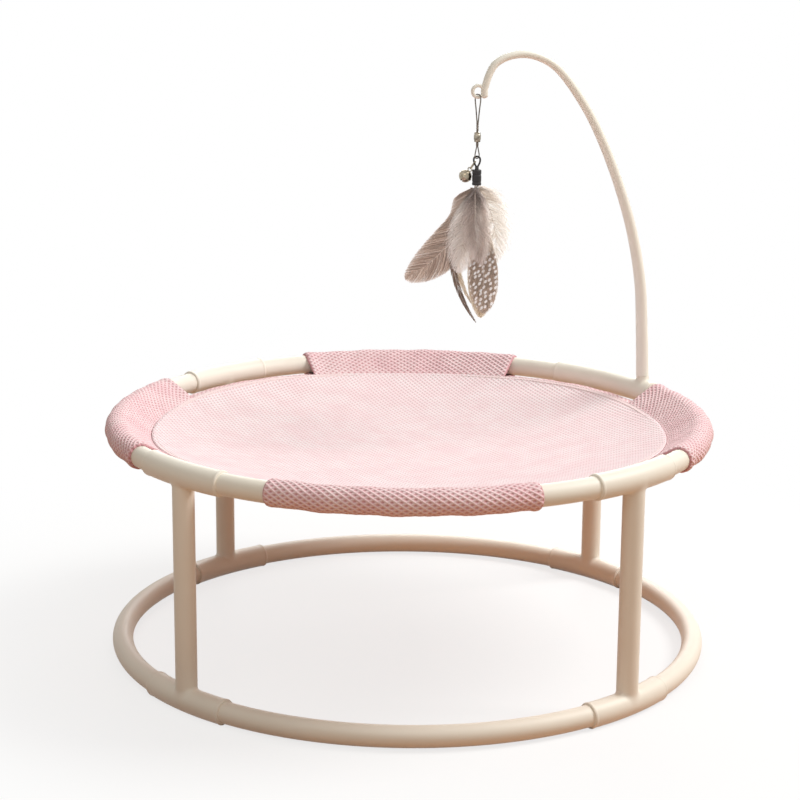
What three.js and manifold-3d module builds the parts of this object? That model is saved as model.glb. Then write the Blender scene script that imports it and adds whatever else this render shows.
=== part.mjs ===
// Round raised cat hammock: two tube rings joined by four legs, a sewn mesh hammock threaded
// on the upper ring, and a bent teaser wand with a swivel, a bell and a bunch of feathers.
// Millimetres, +Z up, origin on the floor below the centre of the rings.

import * as THREE from 'three';
import { mergeVertices } from 'three/addons/utils/BufferGeometryUtils.js';
import Module from 'manifold-3d';

const wasm = await Module();
wasm.setup();

// Rings and legs
const ringRadius = 240;
const ringSpacing = 180;
const tubeDiameter = 17;
const tubeWall = 2;
const legDiameter = 17;
const legWall = 2;
const fitGap = 0.3;
const touchGap = 0.3;

// Moulded connectors
const connectorWall = 1.2;
const connectorArm = 42;
const connectorWeb = 14.2;
const rimBevel = 0.6;
const footPadDepth = 0.5;
const bossStand = 2.5;
const spigotLength = 22;
const spigotWall = 2;

// Bare tube between each end of a sleeve and the connector next to it
const bareTube = {
  frontLeft: 41,
  frontRight: 49,
  rightFront: 25,
  rightBack: 3,
  backRight: 45,
  backLeft: 45,
  leftBack: 32,
  leftFront: 20,
};

// Fabric
const sleeveThickness = 1.6;
const layerGap = 0.6;
const seamInset = 27;
const seamLand = 7;
const seamDropAtSleeve = 8;
const seamDropAtLeg = 4;
const hemInset = 15;
const hemFlare = 5.5;
const hemCurve = 13;
const hemDip = 1.5;
const hemOverlap = 1;
const panelThickness = 3;
const panelSag = 34;
const foldHeight = 1.4;

// Wand, its socket and its eyelet
const wandOffset = 60.7;
const wandReach = 152.8;
const wandRise = 283;
const wandBaseDiameter = 11;
const wandTipDiameter = 6;
const socketStand = 4;
const socketFillet = 1.6;
const socketLand = 16.8;
const plugWall = 1.3;
const plugReach = 3.5;
const eyeletWire = 3;
const eyeletHole = 6.6;
const eyeletOverlap = 2.1;
const eyeletLift = 3.6;

// Snap hook, barrel swivel and swivel eye
const hookWire = 1.1;
const hookWidth = 7;
const hookLength = 23.9;
const wrapTurns = 4;
const wrapLength = 8.4;
const wrapDiameter = 2.3;
const stemDiameter = 1.1;
const stemGap = 0.3;
const barrelLength = 8.5;
const barrelDiameter = 6;
const barrelWall = 0.9;
const stemHeadDiameter = 3;
const stemHeadThickness = 0.9;
const eyeNeck = 3.8;
const eyeWire = 1;
const eyeWidth = 4.6;
const eyeLength = 10.4;

// Toy loop, ferrule, link and bell
const loopWire = 1.6;
const loopWidth = 5.7;
const loopLength = 8.5;
const loopNeck = 2.4;
const loopShank = 5;
const ferruleDiameter = 7.8;
const ferruleLength = 13.3;
const ferruleWall = 0.7;
const ferruleTop = 2;
const linkWire = 0.9;
const linkWidth = 4.6;
const linkLength = 8;
const bellDiameter = 11;
const bellWall = 0.5;
const bellSlot = 1;
const bellSlotSpan = 8;
const bellSlotStart = 2;
const bellBead = 0.35;
const shankWire = 0.9;
const shankHole = 2.6;
const pelletDiameter = 2.4;

// Feathers
const bunchLength = 118;
const quillDiameter = 0.9;
const quillGrip = 7;
const quillSpacing = 0.66;
const quillRow = 1.1;
const vaneOpening = 15;
const vaneThickness = 0.8;
const fanReach = 20;
const weldDistance = 0.0016;

// Directions
const quarterTurn = Math.PI / 2;
const fullTurn = Math.PI * 2;
const legAngles = [1, 3, 5, 7].map((eighth) => (eighth * fullTurn) / 8);
const wandHeading = THREE.MathUtils.degToRad(197.5);
const hookHeading = THREE.MathUtils.degToRad(-52);
const eyeHeading = THREE.MathUtils.degToRad(38);
const loopHeading = THREE.MathUtils.degToRad(-20);
const bellLean = THREE.MathUtils.degToRad(34.5);
const upward = new THREE.Vector3(0, 0, 1);

// Facet counts
const ringFacets = 52;
const tubeSides = 14;
const boreSides = 8;
const sleeveSides = 9;
const panelRings = 6;
const filletSteps = 3;
const hemSteps = 3;
const wandSteps = 26;
const wandSides = 10;
const eyeletSteps = 16;
const wireSides = 6;
const hookSteps = 26;
const ovalSteps = 18;
const shankSteps = 12;
const vaneSteps = 12;
const bellSides = 12;
const bellRings = 8;

// Sizes that follow from the ones above
const tubeRadius = tubeDiameter / 2;
const legRadius = legDiameter / 2;
const boreRadius = tubeRadius + fitGap;
const connectorRadius = boreRadius + connectorWall;
const lowerHeight = connectorRadius - footPadDepth;
const upperHeight = lowerHeight + ringSpacing;
const bossReach = connectorRadius + bossStand;
const spigotRadius = legRadius - legWall - fitGap;
const cutOverrun = connectorWall;
const sleeveBore = (tubeRadius + fitGap) / Math.cos(quarterTurn / sleeveSides);
const sleeveRadius = sleeveBore + sleeveThickness;
const seamRadius = ringRadius - seamInset;
const wandRadius = wandBaseDiameter / 2;
const wandTipRadius = wandTipDiameter / 2;
const plugRadius = wandRadius - plugWall;
const socketHeight = upperHeight + connectorRadius + socketStand;
const wandArm = wandOffset + socketLand;

// Outline shares, from the root to the end: across, along
const wandPathShares = [
  [0, 0],
  [0.0143, 0.152],
  [0.037, 0.304],
  [0.115, 0.491],
  [0.276, 0.716],
  [0.429, 0.862],
  [0.607, 0.97],
  [0.782, 1],
  [0.937, 0.973],
  [0.999, 0.9],
  [1, 0.88],
];
const wandTipShares = [0.5, 0.85];
const hookPathShares = [
  [-0.17, -1],
  [-0.62, -0.55],
  [-1.02, -0.17],
  [-0.85, -0.04],
  [0, 0],
  [0.85, -0.04],
  [1.02, -0.17],
  [0.62, -0.55],
  [0.17, -1],
];
const eyePathShares = [
  [-0.25, 0],
  [-0.62, -0.36],
  [-1, -0.78],
  [-0.72, -0.95],
  [0, -1],
  [0.72, -0.95],
  [1, -0.78],
  [0.62, -0.36],
  [0.25, 0],
];
const loopPathShares = [
  [-0.25, -1],
  [-0.8, -0.66],
  [-1, -0.3],
  [-0.72, -0.07],
  [0, 0],
  [0.72, -0.07],
  [1, -0.3],
  [0.8, -0.66],
  [0.25, -1],
];
const barrelSkinShares = [
  [0.66, -1],
  [0.94, -0.7],
  [1, 0],
  [0.94, 0.7],
  [0.66, 1],
];
const ferruleGrooveShares = [0.3, 0.34, 0.38];

// Where on the toy loop's path the link hangs
const linkSeatShares = [-0.76, -0.64];

// Exponents that shape the panel's bowl and the sides of a vane
const bowlShare = 2.2;
const vaneShare = 0.55;

// Smallest part of a ring facet that a station may cut off
const sliverShare = 0.05;

// Feathers from the front layer to the back one, in shares of the bunch's length. Reach and drop
// give the tip from the mouth of the ferrule, bow pushes the middle of the quill sideways, and
// widest is a share of the feather's own length.
const featherShares = [
  { name: 'pale_feather', reach: 0.042, drop: 0.56, bow: -0.017, width: 0.19, widest: 0.5 },
  { name: 'grey_feather', reach: -0.12, drop: 0.627, bow: -0.02, width: 0.22, widest: 0.6 },
  { name: 'spotted_feather', reach: 0.068, drop: 0.924, bow: 0.015, width: 0.21, widest: 0.7 },
  { name: 'brown_hackle', reach: 0.012, drop: 1, bow: -0.175, width: 0.05, widest: 0.45 },
  { name: 'mauve_feather', reach: -0.508, drop: 0.69, bow: 0.1, width: 0.27, widest: 0.6 },
  { name: 'cream_hackle', reach: -0.02, drop: 0.88, bow: -0.135, width: 0.05, widest: 0.45 },
  { name: 'cream_feather', reach: 0.05, drop: 0.99, bow: 0.008, width: 0.18, widest: 0.7 },
  { name: 'white_feather', reach: 0.15, drop: 0.58, bow: 0.05, width: 0.25, widest: 0.45 },
];
const featherColors = {
  pale_feather: 0xe4dfd8,
  grey_feather: 0x9c8a84,
  spotted_feather: 0x6f645e,
  brown_hackle: 0x59423a,
  mauve_feather: 0xb39887,
  cream_hackle: 0xcdbfae,
  cream_feather: 0xd9cfbf,
  white_feather: 0xeeeae4,
};

// Finishes
const finishes = {
  plastic: { color: 0xefece2, roughness: 0.45, metalness: 0 },
  wand: { color: 0xe6e1d5, roughness: 0.4, metalness: 0 },
  sleeve: { color: 0xeec9c9, roughness: 0.95, metalness: 0 },
  panel: { color: 0xf3dedd, roughness: 0.95, metalness: 0 },
  wire: { color: 0x8d857a, roughness: 0.3, metalness: 1 },
  nickel: { color: 0xc9c3b8, roughness: 0.22, metalness: 1 },
  black: { color: 0x23201f, roughness: 0.4, metalness: 0 },
};

// The geometry with positions only, shared vertices merged and faces that point out
function closedShell(source) {
  const bare = new THREE.BufferGeometry();
  bare.setAttribute('position', source.getAttribute('position'));
  bare.setIndex(source.getIndex());
  const shell = mergeVertices(bare, weldDistance);
  const corners = shell.getIndex().array;
  const faces = [];
  for (let i = 0; i < corners.length; i += 3) {
    const [a, b, c] = corners.slice(i, i + 3);
    if (a !== b && b !== c && c !== a) faces.push(a, b, c);
  }
  shell.setIndex(faces);
  if (enclosedVolume(shell) < 0) shell.setIndex(faces.reverse());
  return shell;
}

// Volume inside the faces, negative where they point inward
function enclosedVolume(shell) {
  const position = shell.getAttribute('position');
  const corners = shell.getIndex().array;
  const [a, b, c] = [new THREE.Vector3(), new THREE.Vector3(), new THREE.Vector3()];
  let volume = 0;
  for (let i = 0; i < corners.length; i += 3) {
    a.fromBufferAttribute(position, corners[i]);
    b.fromBufferAttribute(position, corners[i + 1]);
    c.fromBufferAttribute(position, corners[i + 2]);
    volume += a.dot(b.cross(c)) / 6;
  }
  return volume;
}

function toManifold(source) {
  const shell = closedShell(source);
  const vertProperties = new Float32Array(shell.getAttribute('position').array);
  const triVerts = new Uint32Array(shell.getIndex().array);
  return new wasm.Manifold(new wasm.Mesh({ numProp: 3, vertProperties, triVerts }));
}

function toGeometry(manifold) {
  const mesh = manifold.getMesh();
  const geometry = new THREE.BufferGeometry();
  geometry.setAttribute('position', new THREE.BufferAttribute(mesh.vertProperties, mesh.numProp));
  geometry.setIndex(new THREE.BufferAttribute(mesh.triVerts, 1));
  return geometry;
}

function joined(first, ...others) {
  return toGeometry(others.reduce((sum, other) => sum.add(toManifold(other)), toManifold(first)));
}

function cut(body, ...tools) {
  return toGeometry(tools.reduce((rest, tool) => rest.subtract(toManifold(tool)), toManifold(body)));
}

function part(name, geometry, finish) {
  const mesh = new THREE.Mesh(geometry, new THREE.MeshStandardMaterial(finish));
  mesh.name = name;
  return mesh;
}

// Regular polygon with a flat side at the bottom
function circleOutline(radius, sides) {
  return Array.from({ length: sides }, (_, side) => {
    const turn = ((side + 0.5) * fullTurn) / sides - quarterTurn;
    return [radius * Math.cos(turn), radius * Math.sin(turn)];
  });
}

// Sweeps an outline, and a hole where there is one, through a row of frames with flat ends
function sweptSolid(frames, outlineAt, holeAt = null) {
  const positions = [];
  const faces = [];
  const loops = [outlineAt, holeAt].filter(Boolean).map((pointsAt) => {
    const start = positions.length / 3;
    frames.forEach((frame, step) => {
      for (const [across, up] of pointsAt(step)) {
        const point = frame.origin.clone();
        point.addScaledVector(frame.across, across).addScaledVector(frame.up, up);
        positions.push(...point.toArray());
      }
    });
    return { start, count: pointsAt(0).length };
  });
  for (const { start, count } of loops) {
    for (let step = 0; step < frames.length - 1; step += 1) {
      for (let i = 0; i < count; i += 1) {
        const near = start + step * count;
        const next = (i + 1) % count;
        faces.push(near + i, near + count + i, near + count + next);
        faces.push(near + i, near + count + next, near + next);
      }
    }
  }
  const last = frames.length - 1;
  for (const [step, flip] of [[0, false], [last, true]]) {
    const [contour, ...holes] = [outlineAt, holeAt].filter(Boolean).map((pointsAt) => pointsAt(step));
    const flat = (points) => points.map(([x, y]) => new THREE.Vector2(x, y));
    const corner = (i) => (i < contour.length
      ? loops[0].start + step * contour.length + i
      : loops[1].start + step * holes[0].length + i - contour.length);
    for (const [a, b, c] of THREE.ShapeUtils.triangulateShape(flat(contour), holes.map(flat))) {
      faces.push(...(flip ? [a, c, b] : [a, b, c]).map(corner));
    }
  }
  const solid = new THREE.BufferGeometry();
  solid.setAttribute('position', new THREE.Float32BufferAttribute(positions, 3));
  solid.setIndex(faces);
  return closedShell(solid);
}

// Closed oval of wire in the upright plane of a heading, centred on the origin
function ovalWire(width, length, diameter, steps, heading) {
  const along = new THREE.Vector3(Math.cos(heading), Math.sin(heading), 0);
  const side = new THREE.Vector3().crossVectors(upward, along);
  const place = (x, z) => along.clone().multiplyScalar(x).setZ(z);
  const positions = [];
  const faces = [];
  for (let step = 0; step < steps; step += 1) {
    const turn = (step * fullTurn) / steps;
    const out = place(Math.cos(turn) / width, Math.sin(turn) / length).normalize();
    const centre = place((Math.cos(turn) * width) / 2, (Math.sin(turn) * length) / 2);
    for (const [across, up] of circleOutline(diameter / 2, wireSides)) {
      positions.push(...centre.clone().addScaledVector(out, across).addScaledVector(side, up).toArray());
    }
    for (let i = 0; i < wireSides; i += 1) {
      const next = (i + 1) % wireSides;
      const [near, far] = [step * wireSides, ((step + 1) % steps) * wireSides];
      faces.push(near + i, far + i, far + next, near + i, far + next, near + next);
    }
  }
  const oval = new THREE.BufferGeometry();
  oval.setAttribute('position', new THREE.Float32BufferAttribute(positions, 3));
  oval.setIndex(faces);
  return closedShell(oval);
}

// Revolves a closed or axis-to-axis profile of [radius, height] about +Z
function turned(profile, sides) {
  const points = profile.map(([radius, height]) => new THREE.Vector2(radius, height));
  return closedShell(new THREE.LatheGeometry(points, sides).rotateX(quarterTurn));
}

// Angle that a length of arc takes on the rings
function arcAngle(length) {
  return length / ringRadius;
}

// Section frame on the faceted ring, so that everything on one ring follows the same facets
function ringFrame(angle, height) {
  const facet = fullTurn / ringFacets;
  const middle = (Math.floor(angle / facet) + 0.5) * facet;
  const reach = (ringRadius * Math.cos(facet / 2)) / Math.cos(angle - middle);
  const across = new THREE.Vector3(Math.cos(angle), Math.sin(angle), 0);
  return { origin: across.clone().multiplyScalar(reach).setZ(height), across, up: upward };
}

// Both ends and each facet corner between them, without slivers
function ringStations(from, to) {
  const facet = fullTurn / ringFacets;
  const corners = [];
  for (let corner = Math.ceil(from / facet) * facet; corner < to; corner += facet) {
    if (Math.min(corner - from, to - corner) > facet * sliverShare) corners.push(corner);
  }
  return [from, ...corners, to];
}

function ringSolid(stations, height, outlineAt, holeAt = null) {
  const frames = stations.map((angle) => ringFrame(angle, height));
  const outline = (step) => outlineAt(stations[step]);
  return sweptSolid(frames, outline, holeAt && ((step) => holeAt(stations[step])));
}

function ringTubeGeometry(fromLeg, toLeg, height) {
  const stop = arcAngle(connectorWeb + touchGap);
  const outline = () => circleOutline(tubeRadius, tubeSides);
  const hole = () => circleOutline(tubeRadius - tubeWall, boreSides).reverse();
  return ringSolid(ringStations(fromLeg + stop, toLeg - stop), height, outline, hole);
}

// Connector: a curved sleeve with a bevelled rim at each end, blind seats for two ring tubes,
// and a boss with a hollow spigot that the leg slides over. Side is 1 where the leg is above.
function connectorGeometry(legAngle, height, side, armBefore, armAfter) {
  const from = legAngle - arcAngle(armBefore);
  const to = legAngle + arcAngle(armAfter);
  const bevel = arcAngle(rimBevel);
  const stations = [from, ...ringStations(from + bevel, to - bevel), to];
  const radiusAt = (angle) => connectorRadius - (angle === from || angle === to ? rimBevel : 0);
  const sleeve = ringSolid(stations, height, (angle) => circleOutline(radiusAt(angle), tubeSides));
  const bore = () => circleOutline(boreRadius, tubeSides);
  const seat = (start, end) => ringSolid(ringStations(start, end), height, bore);
  const web = arcAngle(connectorWeb);
  const overrun = arcAngle(cutOverrun);
  const boss = turned([
    [0, 0],
    [legRadius, 0],
    [legRadius, bossReach],
    [spigotRadius, bossReach],
    [spigotRadius, bossReach + spigotLength - spigotWall],
    [spigotRadius - spigotWall / 2, bossReach + spigotLength],
    [0, bossReach + spigotLength],
  ], tubeSides);
  const core = turned([
    [0, tubeRadius / 2],
    [spigotRadius - spigotWall, tubeRadius / 2],
    [spigotRadius - spigotWall, bossReach + spigotLength + cutOverrun],
    [0, bossReach + spigotLength + cutOverrun],
  ], boreSides);
  const place = (geometry) => {
    if (side < 0) geometry.rotateX(Math.PI);
    const { origin } = ringFrame(legAngle, height);
    return geometry.translate(origin.x, origin.y, origin.z);
  };
  return cut(
    joined(sleeve, place(boss)),
    seat(from - overrun, legAngle - web),
    seat(legAngle + web, to + overrun),
    place(core),
  );
}

// Everything below the floor, to cut the resting flat of a foot connector
function belowFloor(legAngle) {
  const span = 2 * (connectorArm + connectorRadius);
  const { origin } = ringFrame(legAngle, 0);
  return new THREE.BoxGeometry(span, span, connectorRadius)
    .translate(origin.x, origin.y, -connectorRadius / 2);
}

// Boss of the wand socket: a short collar that flares onto the connector
function socketBoss(base) {
  const top = socketHeight - upperHeight;
  const flare = Array.from({ length: filletSteps + 1 }, (_, step) => {
    const turn = (step / filletSteps) * quarterTurn;
    const radius = wandRadius + socketFillet * (1 - Math.sin(turn));
    return [radius, connectorRadius - socketFillet / 2 + socketFillet * (1 - Math.cos(turn))];
  });
  const profile = [[0, 0], [wandRadius + socketFillet, 0], ...flare, [wandRadius, top], [0, top]];
  return turned(profile, tubeSides).translate(base.x, base.y, upperHeight);
}

function socketHole(base) {
  const length = connectorRadius + socketStand + cutOverrun;
  return new THREE.CylinderGeometry(plugRadius + fitGap, plugRadius + fitGap, length, wandSides)
    .rotateX(quarterTurn).translate(base.x, base.y, upperHeight + length / 2);
}

// Four connectors, four tubes: one ring. The wand's socket stands on the upper back right one.
function ring(level, height, side, wandBase) {
  const group = new THREE.Group();
  const corners = ['back_right', 'back_left', 'front_left', 'front_right'];
  const spans = ['back', 'left', 'front', 'right'];
  legAngles.forEach((legAngle, i) => {
    const holdsWand = level === 'upper' && corners[i] === 'back_right';
    const armBefore = holdsWand ? wandArm : connectorArm;
    let connector = connectorGeometry(legAngle, height, side, armBefore, connectorArm);
    if (level === 'lower') connector = cut(connector, belowFloor(legAngle));
    if (holdsWand) connector = cut(joined(connector, ...socketRing(wandBase)), socketHole(wandBase));
    group.add(part(`${level}_connector_${corners[i]}`, connector, finishes.plastic));
    let tube = ringTubeGeometry(legAngle, legAngle + quarterTurn, height);
    if (level === 'upper' && spans[i] === 'right') tube = cut(tube, socketHole(wandBase));
    group.add(part(`${level}_tube_${spans[i]}`, tube, finishes.plastic));
  });
  return group;
}

// The boss without what would fill the tube's seat below it
function socketRing(base) {
  const wandAngle = legAngles[0] - arcAngle(wandOffset);
  const reach = arcAngle(wandRadius + socketFillet + cutOverrun);
  const stations = ringStations(wandAngle - reach, wandAngle + reach);
  const seat = ringSolid(stations, upperHeight, () => circleOutline(boreRadius, tubeSides));
  return [cut(socketBoss(base), seat)];
}

function legs() {
  const group = new THREE.Group();
  const names = ['back_right', 'back_left', 'front_left', 'front_right'];
  const foot = lowerHeight + bossReach + touchGap;
  const head = upperHeight - bossReach - touchGap;
  const bore = legRadius - legWall;
  const profile = [[bore, foot], [legRadius, foot], [legRadius, head], [bore, head], [bore, foot]];
  legAngles.forEach((legAngle, i) => {
    const leg = part(`leg_${names[i]}`, turned(profile, tubeSides), finishes.plastic);
    leg.position.copy(ringFrame(legAngle, 0).origin);
    group.add(leg);
  });
  return group;
}

// How far the seam between panel and sleeves lies below the upper ring
function seamDrop(angle) {
  const towardsLeg = (1 - Math.cos(4 * angle)) / 2;
  return seamDropAtSleeve + (seamDropAtLeg - seamDropAtSleeve) * towardsLeg;
}

// Outline of cloth that wraps a circle and runs on to a tip, as a drop shape
function wrapOutline(radius, tip, halfTip) {
  const reachTo = (x, y) => ({ turn: Math.atan2(y, x), lean: Math.acos(radius / Math.hypot(x, y)) });
  const top = reachTo(tip[0], tip[1] + halfTip);
  const bottom = reachTo(tip[0], tip[1] - halfTip);
  const start = bottom.turn + bottom.lean;
  const end = top.turn - top.lean + fullTurn;
  const arc = Array.from({ length: sleeveSides + 1 }, (_, i) => {
    const turn = start + ((end - start) * i) / sleeveSides;
    return [radius * Math.cos(turn), radius * Math.sin(turn)];
  });
  return [...arc, [tip[0], tip[1] + halfTip], [tip[0], tip[1] - halfTip]];
}

function wrapGeometry(from, to) {
  const outline = (angle) => wrapOutline(sleeveRadius, [-seamInset, -seamDrop(angle)], panelThickness / 2);
  const hole = (angle) => {
    const inner = 1 - seamLand / seamInset;
    const tip = [-seamInset * inner, -seamDrop(angle) * inner];
    return wrapOutline(sleeveBore, tip, layerGap / 2).reverse();
  };
  return ringSolid(ringStations(from, to), upperHeight, outline, hole);
}

// Hem of a sleeve's cloth from its end to the leg. It leaves the sleeve in a concave curve and
// runs along the seam, clear of the connector.
function hemGeometry(end, leg) {
  const ahead = Math.sign(leg - end);
  const near = end - ahead * arcAngle(hemOverlap);
  const far = leg - (ahead * arcAngle(touchGap)) / 2;
  const turnAt = (i) => end + (ahead * i * arcAngle(hemCurve)) / hemSteps;
  const curve = Array.from({ length: hemSteps + 1 }, (_, i) => turnAt(i));
  const corners = ringStations(Math.min(near, far), Math.max(near, far));
  const stations = [...corners, ...curve].sort((a, b) => a - b);
  const outline = (angle) => {
    const away = Math.max(0, (ahead * (angle - end)) / arcAngle(hemCurve));
    const bend = Math.max(0, 1 - away);
    const inset = hemInset - hemFlare * (1 - Math.sqrt(1 - bend ** 2));
    const seam = -seamDrop(angle);
    const hem = seam - (hemDip * (seamInset - inset)) / (seamInset - hemInset);
    return [
      [-seamInset, seam - panelThickness / 2],
      [-inset, hem - sleeveThickness / 2],
      [-inset, hem + sleeveThickness / 2],
      [-seamInset, seam + panelThickness / 2],
    ];
  };
  return ringSolid(stations, upperHeight, outline);
}

// One sleeve round the tube with its hem to the legs on both sides
function sleeveGeometry(from, to, legBefore, legAfter) {
  return joined(wrapGeometry(from, to), hemGeometry(from, legBefore), hemGeometry(to, legAfter));
}

function sleeves() {
  const group = new THREE.Group();
  const arms = { ahead: arcAngle(connectorArm), behindWand: arcAngle(wandArm) };
  const spans = [
    { name: 'back', leg: 0, starts: bareTube.backRight, ends: bareTube.backLeft, arm: arms.ahead },
    { name: 'left', leg: 1, starts: bareTube.leftBack, ends: bareTube.leftFront, arm: arms.ahead },
    { name: 'front', leg: 2, starts: bareTube.frontLeft, ends: bareTube.frontRight, arm: arms.ahead },
    { name: 'right', leg: 3, starts: bareTube.rightFront, ends: bareTube.rightBack, arm: arms.behindWand },
  ];
  for (const { name, leg, starts, ends, arm } of spans) {
    const [before, after] = [legAngles[leg], legAngles[leg] + quarterTurn];
    const from = before + arms.ahead + arcAngle(starts);
    const to = after - arm - arcAngle(ends);
    group.add(part(`sleeve_${name}`, sleeveGeometry(from, to, before, after), finishes.sleeve));
  }
  return group;
}

// Middle of the panel's cloth at a share of its radius: a shallow bowl whose rim follows the
// seam, with eight soft pull folds that are highest two thirds of the way out
function panelHeight(share, angle) {
  const bowl = panelSag + (seamDrop(angle) - panelSag) * share ** bowlShare;
  const swell = (27 / 4) * share ** 2 * (1 - share);
  const fold = (foldHeight * swell * (1 - Math.cos(8 * angle))) / 2;
  return upperHeight - bowl + fold;
}

function panelGeometry() {
  const rim = seamRadius - touchGap;
  const positions = [];
  const faces = [];
  for (const face of [1, -1]) {
    positions.push(0, 0, panelHeight(0, 0) + (face * panelThickness) / 2);
    for (let ringIndex = 1; ringIndex <= panelRings; ringIndex += 1) {
      const share = Math.sqrt(ringIndex / panelRings);
      for (let i = 0; i < ringFacets; i += 1) {
        const angle = (i * fullTurn) / ringFacets;
        const height = panelHeight(share, angle) + (face * panelThickness) / 2;
        positions.push(rim * share * Math.cos(angle), rim * share * Math.sin(angle), height);
      }
    }
  }
  const sheet = 1 + panelRings * ringFacets;
  const at = (face, ringIndex, i) => face * sheet + 1 + (ringIndex - 1) * ringFacets + (i % ringFacets);
  for (let i = 0; i < ringFacets; i += 1) {
    faces.push(0, at(0, 1, i), at(0, 1, i + 1));
    faces.push(sheet, at(1, 1, i + 1), at(1, 1, i));
    for (let ringIndex = 1; ringIndex < panelRings; ringIndex += 1) {
      const [a, b, c, d] = [[0, 0], [1, 0], [1, 1], [0, 1]];
      const top = [a, b, c, d].map(([outer, turn]) => at(0, ringIndex + outer, i + turn));
      const base = [a, d, c, b].map(([outer, turn]) => at(1, ringIndex + outer, i + turn));
      for (const quad of [top, base]) faces.push(quad[0], quad[1], quad[2], quad[0], quad[2], quad[3]);
    }
    const edge = [[0, 0], [1, 0], [1, 1], [0, 1]].map(([face, turn]) => at(face, panelRings, i + turn));
    faces.push(edge[0], edge[1], edge[2], edge[0], edge[2], edge[3]);
  }
  const sheetGeometry = new THREE.BufferGeometry();
  sheetGeometry.setAttribute('position', new THREE.Float32BufferAttribute(positions, 3));
  sheetGeometry.setIndex(faces);
  return closedShell(sheetGeometry);
}

// Frames along a flat path of shares in the upright plane of a heading; across lies in the plane
function pathFrames(shares, wide, high, steps, heading) {
  const along = new THREE.Vector3(Math.cos(heading), Math.sin(heading), 0);
  const side = new THREE.Vector3().crossVectors(upward, along);
  const points = shares.map(([x, y]) => along.clone().multiplyScalar(x * wide).setZ(y * high));
  const curve = new THREE.CatmullRomCurve3(points, false, 'centripetal');
  return Array.from({ length: steps + 1 }, (_, step) => {
    const tangent = curve.getTangentAt(step / steps);
    const across = new THREE.Vector3().crossVectors(side, tangent);
    return { origin: curve.getPointAt(step / steps), across, up: side };
  });
}

function wire(shares, wide, high, steps, heading, diameter) {
  const frames = pathFrames(shares, wide, high, steps, heading);
  return sweptSolid(frames, () => circleOutline(diameter / 2, wireSides));
}

// Tapered rod that plugs into its socket and ends in a rounded tip with an eyelet beside it
function wandGeometry() {
  const frames = pathFrames(wandPathShares, wandReach, wandRise, wandSteps, wandHeading);
  const radiusAt = (step) => THREE.MathUtils.lerp(wandRadius, wandTipRadius, step / wandSteps);
  const last = frames[wandSteps];
  const tangent = new THREE.Vector3().crossVectors(last.across, last.up);
  const tip = wandTipShares.map((share) => ({
    ...last,
    origin: last.origin.clone().addScaledVector(tangent, wandTipRadius * share),
    radius: wandTipRadius * Math.sqrt(1 - share ** 2),
  }));
  const outline = (step) => {
    const radius = step > wandSteps ? tip[step - wandSteps - 1].radius : radiusAt(step);
    return circleOutline(radius, wandSides);
  };
  const rod = sweptSolid([...frames, ...tip], outline);
  const plugLength = connectorRadius + socketStand + plugReach + touchGap;
  const plug = new THREE.CylinderGeometry(plugRadius, plugRadius, plugLength + wandRadius, wandSides)
    .rotateX(quarterTurn).translate(0, 0, (wandRadius - plugLength - touchGap) / 2);
  const { offset, lift } = eyeletPlace(last.origin);
  const eyeletRadius = (eyeletHole + eyeletWire) / 2;
  const eyelet = new THREE.TorusGeometry(eyeletRadius, eyeletWire / 2, boreSides, eyeletSteps)
    .rotateX(quarterTurn).rotateZ(wandHeading)
    .translate(offset.x, offset.y, lift);
  return joined(rod, plug, eyelet);
}

// Centre of the eyelet, beyond the rod's tip along the heading and above its end
function eyeletPlace(tipOrigin) {
  const out = wandTipRadius + eyeletHole / 2 + eyeletWire - eyeletOverlap - eyeletWire / 2;
  const offset = new THREE.Vector3(Math.cos(wandHeading), Math.sin(wandHeading), 0)
    .multiplyScalar(wandReach + out);
  return { offset, lift: tipOrigin.z + eyeletLift };
}

// Snap hook: one springy wire bent over the eyelet, both ends wrapped into a neck whose stem
// ends in a head inside the swivel barrel
function hookGeometry() {
  const bend = wire(hookPathShares, hookWidth / 2, hookLength, hookSteps, 0, hookWire);
  const pitch = wrapLength / wrapTurns;
  const wraps = Array.from({ length: wrapTurns * 2 + 1 }, (_, i) => {
    const radius = i % 2 ? wrapDiameter / 2 : (wrapDiameter - hookWire / 2) / 2;
    return [radius, -hookLength + hookWire - (i * pitch) / 2];
  });
  const neckEnd = wraps[wraps.length - 1][1];
  const stemRadius = stemDiameter / 2;
  const headTop = -barrelTopDrop() - barrelWall - stemGap;
  const stem = turned([
    [0, -hookLength + hookWire],
    ...wraps,
    [stemRadius, neckEnd],
    [stemRadius, headTop],
    [stemHeadDiameter / 2, headTop],
    [stemHeadDiameter / 2, headTop - stemHeadThickness],
    [0, headTop - stemHeadThickness],
  ], wireSides);
  return joined(bend, stem);
}

// From the hook's top bend to the top face of the barrel
function barrelTopDrop() {
  return hookLength - hookWire + wrapLength + touchGap;
}

// Hollow barrel of the swivel, drawn in at both ends round the stems
function barrelGeometry() {
  const half = barrelLength / 2;
  const hole = stemDiameter / 2 + stemGap;
  const outer = barrelDiameter / 2;
  const cavity = stemHeadDiameter / 2 + stemGap * 2;
  return turned([
    [hole, -half],
    ...barrelSkinShares.map(([across, along]) => [outer * across, half * along]),
    [hole, half],
    [hole, half - barrelWall],
    [cavity, half - barrelWall],
    [cavity, barrelWall - half],
    [hole, barrelWall - half],
    [hole, -half],
  ], wandSides);
}

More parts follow.
